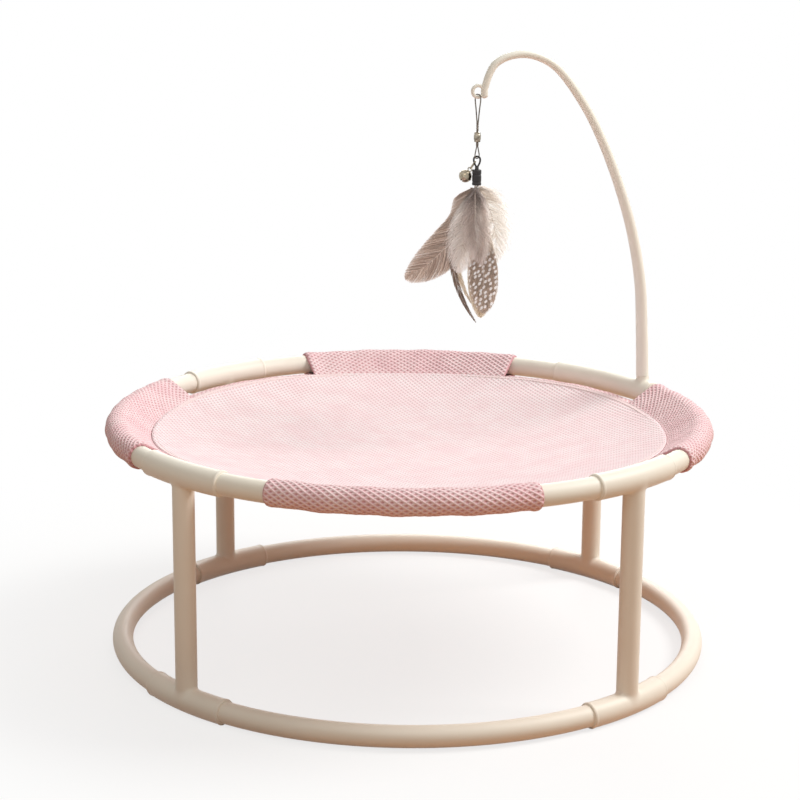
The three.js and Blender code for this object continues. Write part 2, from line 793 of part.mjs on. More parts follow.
// Swivel eye: a headed stem below the barrel that opens into a drop-shaped wire eye
function eyeGeometry() {
  const stemRadius = stemDiameter / 2;
  const headBase = barrelWall + stemGap;
  const stem = turned([
    [0, headBase + stemHeadThickness],
    [stemHeadDiameter / 2, headBase + stemHeadThickness],
    [stemHeadDiameter / 2, headBase],
    [stemRadius, headBase],
    [stemRadius, -touchGap],
    [wrapDiameter / 2, -touchGap - stemRadius],
    [wrapDiameter / 2, -eyeNeck],
    [0, -eyeNeck - stemRadius],
  ], wireSides);
  const bend = wire(eyePathShares, eyeWidth / 2, eyeLength, ovalSteps, eyeHeading, eyeWire);
  return joined(stem, bend.translate(0, 0, -eyeNeck + stemRadius));
}

// Black wire loop whose shank is held in the top of the ferrule
function toyLoopGeometry() {
  const bend = wire(loopPathShares, loopWidth / 2, loopLength, ovalSteps, loopHeading, loopWire);
  const shankEnd = -loopLength - loopNeck - loopShank;
  const shank = turned([
    [0, -loopLength + loopWire / 2],
    [loopWire, -loopLength],
    [loopWire, shankEnd],
    [0, shankEnd],
  ], wireSides);
  return joined(bend, shank);
}

// Crimped cap, closed at the top round the loop's shank and open below for the quills
function ferruleGeometry() {
  const outer = ferruleDiameter / 2;
  const inner = outer - ferruleWall;
  const hole = loopWire + fitGap;
  const groove = ferruleWall / 2;
  const [above, bottom, below] = ferruleGrooveShares.map((share) => -ferruleLength * share);
  return turned([
    [hole, 0],
    [outer - groove, 0],
    [outer, -groove],
    [outer, above],
    [outer - groove, bottom],
    [outer, below],
    [outer, -ferruleLength],
    [inner, -ferruleLength],
    [inner, -ferruleTop],
    [hole, -ferruleTop],
    [hole, 0],
  ], tubeSides);
}

// Oval link from the toy loop down to the bell, turned so that it is seen on its edge
function linkGeometry() {
  return ovalWire(linkWidth, linkLength, linkWire, ovalSteps, quarterTurn);
}

// Height of the middle of the bell's shank above the middle of the bell
function shankRise() {
  return bellDiameter / 2 + (shankHole + shankWire / 2) / 2;
}

// Bell: a thin ball with a crimped waist, a wire shank and two crossed slots below
function bellGeometry() {
  const radius = bellDiameter / 2;
  const ball = (size) => new THREE.SphereGeometry(size, bellSides, bellRings).rotateX(quarterTurn);
  const bead = turned([
    [radius - bellWall, -bellBead],
    [radius + bellBead, -bellBead / 2],
    [radius + bellBead, bellBead / 2],
    [radius - bellWall, bellBead],
    [radius - bellWall, -bellBead],
  ], bellSides);
  const shankSize = shankHole + shankWire;
  const shank = ovalWire(shankSize, shankSize, shankWire, shankSteps, 0).translate(0, 0, shankRise());
  const slot = () => new THREE.BoxGeometry(bellSlot, bellSlotSpan, radius)
    .translate(0, 0, -bellSlotStart - radius / 2);
  const shell = cut(joined(ball(radius), bead, shank), ball(radius - bellWall));
  return cut(shell, slot(), slot().rotateZ(quarterTurn));
}

// A flat vane round a bowed quill. Each feather keeps to its own sloping layer of the bunch.
function featherGeometry(shares, layer) {
  const middleLayer = (featherShares.length - 1) / 2;
  const row = layer % 2 ? quillRow : -quillRow;
  const depth = (layer - middleLayer) * quillSpacing;
  const slope = ((layer - middleLayer) * vaneThickness) / fanReach;
  const reach = shares.reach * bunchLength;
  const drop = shares.drop * bunchLength;
  const bow = shares.bow * bunchLength;
  const halfWidth = (shares.width * bunchLength) / 2;
  const length = Math.hypot(reach, drop);
  const power = Math.log(0.5) / Math.log(shares.widest);
  const positions = [];
  const ringAt = (x, z, half, thick, lean) => {
    const corners = [[half, 0], [0, thick], [-half, 0], [0, -thick]];
    for (const [across, out] of corners) {
      const px = x + across * Math.cos(lean);
      const pz = z + across * Math.sin(lean);
      const fall = Math.hypot(px - row, Math.min(pz, 0));
      positions.push(px, depth + slope * (pz < 0 ? fall : 0) + out, pz);
    }
  };
  const root = quillDiameter / 2;
  ringAt(row, quillGrip, root, root, 0);
  ringAt(row, 0, root, root, 0);
  for (let step = 1; step <= vaneSteps; step += 1) {
    const share = step / vaneSteps;
    const sideways = 4 * share * (1 - share) * bow;
    const x = row + (reach - row) * share + (sideways * drop) / length;
    const z = -drop * share + (sideways * reach) / length;
    const open = THREE.MathUtils.smoothstep(share * length, 0, vaneOpening);
    const spread = Math.sin(Math.PI * share ** power) ** vaneShare;
    const half = step === vaneSteps ? root : Math.max(root, halfWidth * spread * open);
    const bend = 4 * (1 - 2 * share) * bow;
    const lean = Math.atan2(reach + bend * (drop / length), drop);
    ringAt(x, z, half, THREE.MathUtils.lerp(root, vaneThickness / 2, share), lean);
  }
  const faces = [0, 2, 1, 0, 3, 2];
  const rings = positions.length / 12;
  for (let ringIndex = 0; ringIndex < rings - 1; ringIndex += 1) {
    for (let i = 0; i < 4; i += 1) {
      const near = ringIndex * 4;
      const next = (i + 1) % 4;
      faces.push(near + i, near + 4 + next, near + 4 + i);
      faces.push(near + i, near + next, near + 4 + next);
    }
  }
  const end = (rings - 1) * 4;
  faces.push(end, end + 1, end + 2, end, end + 2, end + 3);
  const vane = new THREE.BufferGeometry();
  vane.setAttribute('position', new THREE.Float32BufferAttribute(positions, 3));
  vane.setIndex(faces);
  return closedShell(vane);
}

// Bell on its link, built along the line from the toy loop to the bell
function bellChain() {
  const group = new THREE.Group();
  group.rotation.set(0, bellLean, loopHeading, 'ZYX');
  const link = part('bell_link', linkGeometry(), finishes.nickel);
  link.position.z = -linkLength / 2;
  const bellDrop = linkLength + shankRise() + shankHole / 2 - touchGap - linkWire / 2;
  const bell = part('bell_shell', bellGeometry(), finishes.nickel);
  bell.position.z = -bellDrop;
  group.add(link, bell);
  return { group, bellDrop };
}

// Ferrule, loop, bell and feathers below the swivel eye
function toy(hangHeight) {
  const group = new THREE.Group();
  group.position.z = hangHeight;
  group.add(part('toy_loop', toyLoopGeometry(), finishes.black));
  const ferrule = part('ferrule', ferruleGeometry(), finishes.black);
  ferrule.position.z = -loopLength - loopNeck;
  group.add(ferrule);
  featherShares.forEach((shares, layer) => {
    const finish = { color: featherColors[shares.name], roughness: 0.9, metalness: 0 };
    const vane = part(shares.name, featherGeometry(shares, layer), finish);
    vane.position.z = ferrule.position.z - ferruleLength;
    group.add(vane);
  });
  const { group: chain, bellDrop } = bellChain();
  const along = new THREE.Vector3(Math.cos(loopHeading), Math.sin(loopHeading), 0);
  const [seatAcross, seatDown] = linkSeatShares;
  const seat = along.multiplyScalar((seatAcross * loopWidth) / 2).setZ(seatDown * loopLength);
  const above = new THREE.Vector3(0, 0, (loopWire + linkWire) / 2 + touchGap).applyEuler(chain.rotation);
  chain.position.copy(seat).add(above);
  group.add(chain);
  const centre = new THREE.Vector3(0, 0, -bellDrop).applyEuler(chain.rotation).add(chain.position);
  const ball = new THREE.SphereGeometry(pelletDiameter / 2, wireSides, wireSides);
  const pellet = part('bell_pellet', ball, finishes.nickel);
  pellet.position.copy(centre);
  pellet.position.z -= bellDiameter / 2 - bellWall - pelletDiameter / 2 - touchGap;
  group.add(pellet);
  return group;
}

// Wand with everything that hangs from its eyelet
function wandAndToy(wandBase) {
  const group = new THREE.Group();
  group.position.set(wandBase.x, wandBase.y, socketHeight + touchGap);
  const wand = part('wand', wandGeometry(), finishes.wand);
  const tipHeight = wandRise * wandPathShares[wandPathShares.length - 1][1];
  const { offset, lift } = eyeletPlace(new THREE.Vector3(0, 0, tipHeight));
  const chain = new THREE.Group();
  chain.position.copy(offset).setZ(lift - eyeletHole / 2 + hookWire / 2 + touchGap);
  const hook = part('snap_hook', hookGeometry(), finishes.wire);
  hook.rotation.z = hookHeading;
  const barrel = part('swivel_barrel', barrelGeometry(), finishes.nickel);
  barrel.position.z = -barrelTopDrop() - barrelLength / 2;
  const eye = part('swivel_eye', eyeGeometry(), finishes.wire);
  eye.position.z = -barrelTopDrop() - barrelLength;
  const eyeFloor = eye.position.z - eyeNeck + stemDiameter / 2 - eyeLength + eyeWire / 2;
  chain.add(hook, barrel, eye, toy(eyeFloor + touchGap + loopWire / 2));
  group.add(wand, chain);
  return group;
}

function catHammock() {
  const hammock = new THREE.Group();
  const wandBase = ringFrame(legAngles[0] - arcAngle(wandOffset), 0).origin;
  hammock.add(ring('lower', lowerHeight, 1, wandBase), ring('upper', upperHeight, -1, wandBase));
  hammock.add(legs(), sleeves(), part('hammock_panel', panelGeometry(), finishes.panel));
  hammock.add(wandAndToy(wandBase));
  return hammock;
}

export default catHammock();
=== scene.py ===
"""Round raised cat hammock with a teaser wand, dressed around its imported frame.

Every size below is in millimetres, every mesh is made in the frame's own place in metres, and each
class builds one sub-assembly of the real product.
"""

import logging
import math
import random
from dataclasses import dataclass, field
from enum import Enum
from typing import Callable, Optional, Sequence

import bmesh
import bpy
import numpy as np
from mathutils import Matrix, Vector


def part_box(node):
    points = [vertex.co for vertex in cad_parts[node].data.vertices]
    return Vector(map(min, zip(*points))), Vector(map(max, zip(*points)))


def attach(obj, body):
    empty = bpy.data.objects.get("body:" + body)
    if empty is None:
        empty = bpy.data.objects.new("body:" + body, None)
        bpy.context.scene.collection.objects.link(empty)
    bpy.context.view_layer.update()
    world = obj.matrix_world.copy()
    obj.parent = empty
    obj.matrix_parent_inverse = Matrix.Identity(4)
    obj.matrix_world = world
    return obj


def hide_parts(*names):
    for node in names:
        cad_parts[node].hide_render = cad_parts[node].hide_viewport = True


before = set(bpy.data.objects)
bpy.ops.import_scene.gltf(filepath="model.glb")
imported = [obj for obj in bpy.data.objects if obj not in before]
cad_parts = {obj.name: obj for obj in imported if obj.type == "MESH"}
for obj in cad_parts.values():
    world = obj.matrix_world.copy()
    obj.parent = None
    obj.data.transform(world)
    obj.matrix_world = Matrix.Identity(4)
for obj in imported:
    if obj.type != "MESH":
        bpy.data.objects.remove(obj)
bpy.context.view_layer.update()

LOG = logging.getLogger("hammock")
MM = 0.001
SEED = 7
FULL_TURN = 2 * math.pi

Shell = tuple[np.ndarray, list[tuple[int, ...]]]
Field = Callable[[np.ndarray], np.ndarray]
Colour = tuple[float, float, float, float]


def linear(code: str) -> Colour:
    """Turns an sRGB hex colour into linear red, green, blue and alpha.

    Args:
        code: Six hex digits after a hash sign.

    Returns:
        The colour as Blender's shaders take it.
    """
    parts = [int(code[i:i + 2], 16) / 255 for i in (1, 3, 5)]
    red, green, blue = [c / 12.92 if c <= 0.04045 else ((c + 0.055) / 1.055) ** 2.4 for c in parts]
    return red, green, blue, 1.0


def add_node(
    tree: bpy.types.NodeTree,
    kind: str,
    settings: Optional[dict] = None,
    links: Optional[dict] = None,
) -> bpy.types.Node:
    """Adds a node with its settings and incoming links.

    Args:
        tree: The material's or world's node tree.
        kind: Blender's node type.
        settings: Node properties by lower-case name, and socket values by socket name or index.
        links: Source sockets by the name or index of the input that they feed.

    Returns:
        The new node.
    """
    node = tree.nodes.new(kind)
    for key, value in (settings or {}).items():
        if isinstance(key, str) and hasattr(node, key):
            setattr(node, key, value)
    for key, value in (settings or {}).items():
        if not (isinstance(key, str) and hasattr(node, key)):
            node.inputs[key].default_value = value
    for key, source in (links or {}).items():
        tree.links.new(source, node.inputs[key])
    return node


def begin_material(
    title: str, settings: dict
) -> tuple[bpy.types.Material, bpy.types.NodeTree, bpy.types.Node]:
    """Starts a material with one surface shader.

    Args:
        title: The material's name.
        settings: Values for the shader's sockets.

    Returns:
        The material, its node tree and its shader node.
    """
    material = bpy.data.materials.new(title)
    material.use_nodes = True
    tree = material.node_tree
    tree.nodes.clear()
    shader = add_node(tree, "ShaderNodeBsdfPrincipled", settings)
    add_node(tree, "ShaderNodeOutputMaterial", links={"Surface": shader.outputs["BSDF"]})
    return material, tree, shader


@dataclass(frozen=True)
class CreamCoat:
    """Smooth cream finish of the frame and the wand: moulded plastic or powder coat on steel.

    Moulded polypropylene gives a soft, wide highlight, and powder coat gives a faint
    orange-peel ripple.
    """

    title: str
    colour: str
    shade: str
    roughness: float
    ripple: float
    ripple_size: float

    def build(self) -> bpy.types.Material:
        """Makes the material.

        Returns:
            A dielectric with slight colour drift and a fine surface ripple.
        """
        material, tree, shader = begin_material(self.title, {"IOR": 1.49, "Roughness": self.roughness})
        place = add_node(tree, "ShaderNodeTexCoord").outputs["Object"]
        drift = add_node(tree, "ShaderNodeTexNoise", {"Scale": 22.0, "Detail": 3.0}, {"Vector": place})
        share = add_node(tree, "ShaderNodeMapRange", {"From Min": 0.35, "From Max": 0.75, "To Max": 0.5},
                         {"Value": drift.outputs["Fac"]})
        colour = add_node(tree, "ShaderNodeMix", {
            "data_type": "RGBA", 6: linear(self.colour), 7: linear(self.shade)},
            {0: share.outputs["Result"]}).outputs[2]
        tree.links.new(colour, shader.inputs["Base Color"])
        peel = add_node(tree, "ShaderNodeTexNoise", {"Scale": 1 / (self.ripple_size * MM), "Detail": 1.5},
                        {"Vector": place})
        gloss = add_node(tree, "ShaderNodeMapRange",
                         {"To Min": self.roughness - 0.03, "To Max": self.roughness + 0.05},
                         {"Value": peel.outputs["Fac"]})
        tree.links.new(gloss.outputs["Result"], shader.inputs["Roughness"])
        bump = add_node(tree, "ShaderNodeBump", {
            "Strength": self.ripple, "Distance": 0.03 * MM},
            {"Height": peel.outputs["Fac"]})
        tree.links.new(bump.outputs["Normal"], shader.inputs["Normal"])
        return material


@dataclass(frozen=True)
class AirMesh:
    """Knitted polyester spacer mesh: diagonal yarns crossing round rows of deep holes.

    The holes lie on a centred lattice, with their run along the cloth's first direction and
    half-shifted rows across it; their darker colour is painted shade. The finish reads the cloth
    attribute of the mesh, which holds the flat cut's place in millimetres and the distance from a
    folded end, near which a darker band is painted shade.
    """

    title: str
    yarn: str
    yarn_shade: str
    # Painted shade: colour of the deep holes, laid on as strongly as contrast gives
    hole: str
    run: float
    row: float
    hole_share: float
    softness: float
    depth: float
    contrast: float
    # Painted shade: darker pink laid on within about 2 mm of a sleeve's folded end
    fold: str = "#dba4ab"
    thin_yarn: float = 0.78

    def crossings(
        self, tree: bpy.types.NodeTree, cloth: bpy.types.NodeSocket
    ) -> tuple[bpy.types.NodeSocket, bpy.types.NodeSocket]:
        """Measures how far a place lies from the nearest hole's middle.

        Args:
            tree: The node tree.
            cloth: The flat cut's place.

        Returns:
            The yarns' height, which is 1 on the bold diagonals, and the hole's round distance.
        """
        along, across = 1 / self.run, 0.5 / self.row
        both = []
        for sign in (1, -1):
            line = add_node(tree, "ShaderNodeVectorMath",
                            {"operation": "DOT_PRODUCT", 1: (along, sign * across, 0)}, {0: cloth})
            part = add_node(tree, "ShaderNodeMath", {"operation": "PINGPONG", 1: 0.5},
                            {0: line.outputs["Value"]})
            both.append(part.outputs["Value"])
        cell = add_node(tree, "ShaderNodeCombineXYZ", links={"X": both[0], "Y": both[1]})
        reach = add_node(tree, "ShaderNodeVectorMath", {"operation": "LENGTH"}, {0: cell.outputs["Vector"]})
        thin = add_node(
            tree, "ShaderNodeMath", {"operation": "MULTIPLY", 1: 2 * self.thin_yarn}, {0: both[0]})
        bold = add_node(tree, "ShaderNodeMath", {"operation": "MULTIPLY", 1: 2.0}, {0: both[1]})
        height = add_node(tree, "ShaderNodeMath", {"operation": "MAXIMUM"},
                          {0: thin.outputs["Value"], 1: bold.outputs["Value"]})
        return height.outputs["Value"], reach.outputs["Value"]

    def build(self) -> bpy.types.Material:
        """Makes the material.

        Returns:
            A soft fabric whose holes between fuzzy yarns are darkened by painted shade, with painted shade
            also near the folded ends.
        """
        material, tree, shader = begin_material(
            self.title, {"Roughness": 0.9, "IOR": 1.45, "Sheen Weight": 0.2, "Sheen Roughness": 0.5,
                         "Sheen Tint": linear("#fff0f0"), "Specular IOR Level": 0.2})
        cloth = add_node(tree, "ShaderNodeAttribute", {"attribute_name": "cloth"}).outputs["Vector"]
        yarns, reach = self.crossings(tree, cloth)
        # Painted shade: mask that darkens each hole towards its middle
        hole = add_node(tree, "ShaderNodeMapRange", {
            "interpolation_type": "SMOOTHSTEP",
            "From Min": self.hole_share + self.softness, "From Max": self.hole_share - self.softness},
            {"Value": reach}).outputs["Result"]
        place = add_node(tree, "ShaderNodeTexCoord").outputs["Object"]
        drift = add_node(tree, "ShaderNodeTexNoise", {"Scale": 45.0, "Detail": 4.0}, {"Vector": place})
        fuzz = add_node(tree, "ShaderNodeTexNoise", {"Scale": 1500.0, "Detail": 2.0}, {"Vector": place})
        drift_share = add_node(tree, "ShaderNodeMapRange", {
            "interpolation_type": "SMOOTHSTEP", "From Min": 0.3, "From Max": 0.7},
            {"Value": drift.outputs["Fac"]}).outputs["Result"]
        yarn = add_node(tree, "ShaderNodeMix", {
            "data_type": "RGBA", 6: linear(self.yarn), 7: linear(self.yarn_shade)},
            {0: drift_share}).outputs[2]
        # Painted shade: fine noise varies how dark the holes' painted shade goes
        hole_shade_depth = add_node(tree, "ShaderNodeMapRange", {
            "From Min": 0.2, "From Max": 0.8, "To Min": 0.75 * self.contrast, "To Max": self.contrast},
            {"Value": fuzz.outputs["Fac"]})
        hole_shade = add_node(
            tree, "ShaderNodeMath", {"operation": "MULTIPLY"}, {0: hole, 1: hole_shade_depth.outputs["Result"]})
        colour = add_node(tree, "ShaderNodeMix", {
            "data_type": "RGBA", 7: linear(self.hole)},
            {0: hole_shade.outputs["Value"], 6: yarn}).outputs[2]
        # Painted shade: a darker band near each folded end of a sleeve
        fold = add_node(tree, "ShaderNodeSeparateXYZ", links={"Vector": cloth}).outputs["Z"]
        folded = add_node(tree, "ShaderNodeMapRange", {
            "interpolation_type": "SMOOTHSTEP", "From Min": 2.2, "From Max": 0.4},
            {"Value": fold}).outputs["Result"]
        colour = add_node(tree, "ShaderNodeMix", {
            "data_type": "RGBA", 7: linear(self.fold)},
            {0: folded, 6: colour}).outputs[2]
        tree.links.new(colour, shader.inputs["Base Color"])
        ridge = add_node(tree, "ShaderNodeMath", {"operation": "POWER", 1: 0.8}, {0: yarns})
        height = add_node(tree, "ShaderNodeMath", {"operation": "MULTIPLY_ADD", 1: 0.08},
                          {0: fuzz.outputs["Fac"], 2: ridge.outputs["Value"]})
        bump = add_node(tree, "ShaderNodeBump", {
            "Strength": 1.0, "Distance": self.depth * MM},
            {"Height": height.outputs["Value"]})
        tree.links.new(bump.outputs["Normal"], shader.inputs["Normal"])
        return material


@dataclass(frozen=True)
class Thread:
    """Spun polyester for the seam tape and its stitches: matt, with a fine fibrous grain."""

    title: str
    colour: str
    shade: str
    grain_size: float

    def build(self) -> bpy.types.Material:
        """Makes the material.

        Returns:
            A matt fibre with fine grain.
        """
        material, tree, shader = begin_material(
            self.title, {"Roughness": 0.85, "Sheen Weight": 0.2, "Sheen Roughness": 0.4})
        place = add_node(tree, "ShaderNodeTexCoord").outputs["Object"]
        grain = add_node(tree, "ShaderNodeTexNoise", {"Scale": 1 / (self.grain_size * MM), "Detail": 3.0},
                         {"Vector": place})
        colour = add_node(tree, "ShaderNodeMix", {
            "data_type": "RGBA", 6: linear(self.colour), 7: linear(self.shade)},
            {0: grain.outputs["Fac"]}).outputs[2]
        tree.links.new(colour, shader.inputs["Base Color"])
        bump = add_node(tree, "ShaderNodeBump", {
            "Strength": 0.5, "Distance": 0.1 * MM},
            {"Height": grain.outputs["Fac"]})
        tree.links.new(bump.outputs["Normal"], shader.inputs["Normal"])
        return material


@dataclass(frozen=True)
class SmallMetal:
    """Wire, plate or lacquered metal of the hardware, with handling marks in its gloss."""

    title: str
    colour: str
    tarnish: str
    roughness: float
    metallic: float

    def build(self) -> bpy.types.Material:
        """Makes the material.

        Returns:
            A metal or lacquer with uneven gloss and tarnish.
        """
        material, tree, shader = begin_material(
            self.title, {"Metallic": self.metallic, "Roughness": self.roughness})
        place = add_node(tree, "ShaderNodeTexCoord").outputs["Object"]
        marks = add_node(tree, "ShaderNodeTexNoise", {"Scale": 260.0, "Detail": 3.0, "Roughness": 0.6},
                         {"Vector": place})
        share = add_node(tree, "ShaderNodeMapRange", {"From Min": 0.42, "From Max": 0.68},
                         {"Value": marks.outputs["Fac"]})
        colour = add_node(tree, "ShaderNodeMix", {
            "data_type": "RGBA", 6: linear(self.colour), 7: linear(self.tarnish)},
            {0: share.outputs["Result"]}).outputs[2]
        tree.links.new(colour, shader.inputs["Base Color"])
        gloss = add_node(tree, "ShaderNodeMapRange",
                         {"To Min": self.roughness - 0.06, "To Max": self.roughness + 0.16},
                         {"Value": marks.outputs["Fac"]})
        tree.links.new(gloss.outputs["Result"], shader.inputs["Roughness"])
        bump = add_node(tree, "ShaderNodeBump", {
            "Strength": 0.15, "Distance": 0.03 * MM},
            {"Height": marks.outputs["Fac"]})
        tree.links.new(bump.outputs["Normal"], shader.inputs["Normal"])
        return material


@dataclass(frozen=True)
class Plumage:
    """Dyed feather barbs, downy at the root, with a streak for each barb.

    The vane attribute holds millimetres along the quill, millimetres across it and each barb's
    own tone.
    """

    title: str
    root: str
    colour: str
    edge: str
    change: tuple[float, float] = (18.0, 40.0)
    see_through: float = 0.6
    dots: Optional[str] = None
    dot_pitch: float = 4.3
    dot_share: float = 0.31

    def build(self) -> bpy.types.Material:
        """Makes the material.

        Returns:
            A soft vane with streaks along the barbs and, where given, round dots.
        """
        material, tree, shader = begin_material(
            self.title, {"Roughness": 0.8, "Sheen Weight": 0.25, "Sheen Roughness": 0.4,
                         "Specular IOR Level": 0.2})
        vane = add_node(tree, "ShaderNodeAttribute", {"attribute_name": "vane"}).outputs["Vector"]
        parts = add_node(tree, "ShaderNodeSeparateXYZ", links={"Vector": vane})
        streak = add_node(tree, "ShaderNodeTexNoise", {"noise_dimensions": "1D", "Scale": 1.0, "Detail": 2.0},
                          {"W": parts.outputs["Z"]})
        share = add_node(tree, "ShaderNodeMapRange", {
            "interpolation_type": "SMOOTHSTEP", "From Min": 0.25, "From Max": 0.75},
            {"Value": streak.outputs["Fac"]}).outputs["Result"]
        colour = add_node(tree, "ShaderNodeMix", {
            "data_type": "RGBA", 6: linear(self.colour), 7: linear(self.edge)},
            {0: share}).outputs[2]
        outward = add_node(tree, "ShaderNodeMapRange", {
            "interpolation_type": "SMOOTHSTEP", "From Min": self.change[0], "From Max": self.change[1]},
            {"Value": parts.outputs["X"]}).outputs["Result"]
        colour = add_node(tree, "ShaderNodeMix", {
            "data_type": "RGBA", 6: linear(self.root)},
            {0: outward, 7: colour}).outputs[2]
        if self.dots:
            step = 1 / self.dot_pitch
            along = add_node(tree, "ShaderNodeVectorMath",
                             {"operation": "DOT_PRODUCT", 1: (step, 0.5 * step, 0)}, {0: vane})
            across = add_node(tree, "ShaderNodeVectorMath",
                              {"operation": "DOT_PRODUCT", 1: (0, step, 0)}, {0: vane})
            lattice = add_node(tree, "ShaderNodeCombineXYZ", links={
                "X": along.outputs["Value"], "Y": across.outputs["Value"]})
            spots = add_node(tree, "ShaderNodeTexVoronoi",
                             {"voronoi_dimensions": "2D", "Scale": 1.0, "Randomness": 0.6},
                             {"Vector": lattice.outputs["Vector"]})
            mask = add_node(tree, "ShaderNodeMapRange", {
                "interpolation_type": "SMOOTHSTEP",
                "From Min": self.dot_share + 0.05, "From Max": self.dot_share - 0.05},
                {"Value": spots.outputs["Distance"]}).outputs["Result"]
            shown = add_node(tree, "ShaderNodeMath", {"operation": "MULTIPLY"}, {0: mask, 1: outward})
            colour = add_node(tree, "ShaderNodeMix", {
                "data_type": "RGBA", 7: linear(self.dots)},
                {0: shown.outputs["Value"], 6: colour}).outputs[2]
        tree.links.new(colour, shader.inputs["Base Color"])
        behind = add_node(tree, "ShaderNodeBsdfTranslucent", links={"Color": colour})
        mixed = add_node(tree, "ShaderNodeMixShader", {0: self.see_through},
                         {1: shader.outputs["BSDF"], 2: behind.outputs["BSDF"]})
        tree.links.new(mixed.outputs["Shader"], tree.get_output_node("ALL").inputs["Surface"])
        return material


# Moulded polypropylene and powder-coated steel: warm cream with a wide, soft highlight
CONNECTOR_PLASTIC = CreamCoat("moulded_cream_connector", "#f4efe3", "#ede6d8", 0.46, 0.25, 2.0)
TUBE_COAT = CreamCoat("cream_powder_coat", "#f4efe3", "#efe8da", 0.5, 0.4, 1.5)
# Smoother moulding: a lighter cream with a tighter highlight
WAND_PLASTIC = CreamCoat("cream_wand_plastic", "#faf9f0", "#f6f3e8", 0.42, 0.05, 4.0)
# Knitted spacer mesh: bold diagonals over deep holes darkened by painted shade, deeper pink on the sleeves
# than on the panel
BAND_MESH = AirMesh("pink_band_air_mesh", "#fce3e6", "#f8d6db", "#d48f98", 6.5, 2.2, 0.27, 0.16, 0.9, 0.85)
PANEL_MESH = AirMesh("pale_panel_air_mesh", "#fceef1", "#fae4e8", "#e8bdc5", 6.5, 2.2, 0.27, 0.18, 0.7, 0.9)
# Spun polyester: a matt pale tape under lighter stitches
SEAM_TAPE = Thread("pink_seam_tape", "#fae6e7", "#f3d6d8", 0.8)
STITCH_THREAD = Thread("pale_stitch_thread", "#fdf3f2", "#efdadb", 0.3)
# Bare and plated metal: dark glints on the wire, worn nickel on the barrel, warm plate on the bell
SPRING_WIRE = SmallMetal("dark_spring_wire", "#7d746a", "#4c453e", 0.25, 1.0)
SWIVEL_PLATE = SmallMetal("worn_nickel_swivel", "#a69d8d", "#665c4e", 0.2, 1.0)
BELL_PLATE = SmallMetal("plated_bell", "#aca18e", "#625845", 0.16, 1.0)
# Black lacquer: near black with a soft shine on the loop and the crimped cap
BLACK_LACQUER = SmallMetal("black_lacquer", "#1d1a1a", "#2b2626", 0.35, 0.0)
CRIMP_BLACK = SmallMetal("black_crimped_cap", "#171414", "#262020", 0.45, 0.0)
# Plumage: barbs that let light through, each feather with its own root, vane and edge tones
MAUVE_PLUMAGE = Plumage("mauve_vane", "#ded4cd", "#c9bab1", "#f4ede6", (10.0, 56.0), 0.66)
GREY_PLUMAGE = Plumage("grey_down", "#a9a19b", "#f8f3ee", "#ffffff", (4.0, 28.0), 0.78)
PALE_PLUMAGE = Plumage("pale_down", "#c5bcb9", "#efeae7", "#e8e0dc", (3.0, 22.0), 0.8)
WHITE_PLUMAGE = Plumage("white_down", "#f6f2ee", "#f7f4f0", "#fbf9f6", (3.0, 22.0), 0.84)
CREAM_PLUMAGE = Plumage("cream_vane", "#e8e1d7", "#d9cebe", "#efe8dc", (18.0, 40.0), 0.75)
BROWN_PLUMAGE = Plumage("brown_hackle_barbs", "#b5a79e", "#7c6a5e", "#b3a296", see_through=0.5)
SPOTTED_PLUMAGE = Plumage("spotted_vane", "#f8f4ee", "#c9bcb0", "#e8ded4", (50.0, 62.0), 0.62, dots="#ffffff")
# Horn of the quills: pale and matt
QUILL_HORN = Thread("pale_quill", "#f8f3ee", "#e2dad1", 0.8)


def mesh_piece(
    name: str,
    shells: Sequence[Shell],
    material: bpy.types.Material,
    body: str,
    replaces: Sequence[str] = (),
    smooth_angle: Optional[float] = None,
) -> bpy.types.Object:
    """Makes one visible piece from shells in millimetres and hangs it on its body.

    Args:
        name: The piece's name.
        shells: Vertices and faces of each shell.
        material: The finish.
        body: The frame body that the piece moves with.
        replaces: Frame nodes that the piece stands for.
        smooth_angle: Degrees above which an edge stays sharp, or nothing to smooth them all.

    Returns:
        The new object.
    """
    points: list[np.ndarray] = []
    faces: list[tuple[int, ...]] = []
    start = 0
    for vertices, polygons in shells:
        points.append(np.asarray(vertices, float))
        faces.extend(tuple(i + start for i in polygon) for polygon in polygons)
        start += len(vertices)
    mesh = bpy.data.meshes.new(name)
    mesh.from_pydata((np.concatenate(points) * MM).tolist(), [], faces)
    mesh.validate()
    work = bmesh.new()
    work.from_mesh(mesh)
    bmesh.ops.recalc_face_normals(work, faces=work.faces)
    work.to_mesh(mesh)
    work.free()
    mesh.shade_smooth()
    if smooth_angle is not None:
        mesh.set_sharp_from_angle(angle=math.radians(smooth_angle))
    mesh.materials.append(material)
    piece = bpy.data.objects.new(name, mesh)
    bpy.context.scene.collection.objects.link(piece)
    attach(piece, body)
    if replaces:
        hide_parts(*replaces)
    LOG.info("%s: %d faces", name, len(mesh.polygons))
    return piece


def set_attribute(piece: bpy.types.Object, name: str, values: np.ndarray) -> None:
    """Stores a vector for each vertex under a name that materials read.

    Args:
        piece: The object.
        name: The attribute's name.
        values: One row of three numbers for each vertex.
    """
    attribute = piece.data.attributes.new(name, "FLOAT_VECTOR", "POINT")
    attribute.data.foreach_set("vector", np.asarray(values, np.float32).ravel())


def smoothstep(value: np.ndarray | float, low: float, high: float) -> np.ndarray:
    """Eases from 0 at low to 1 at high.

    Args:
        value: The numbers to ease.
        low: Where the rise starts.
        high: Where it ends.

    Returns:
        The eased shares.
    """
    share = np.clip((np.asarray(value, float) - low) / (high - low), 0, 1)
    return share * share * (3 - 2 * share)


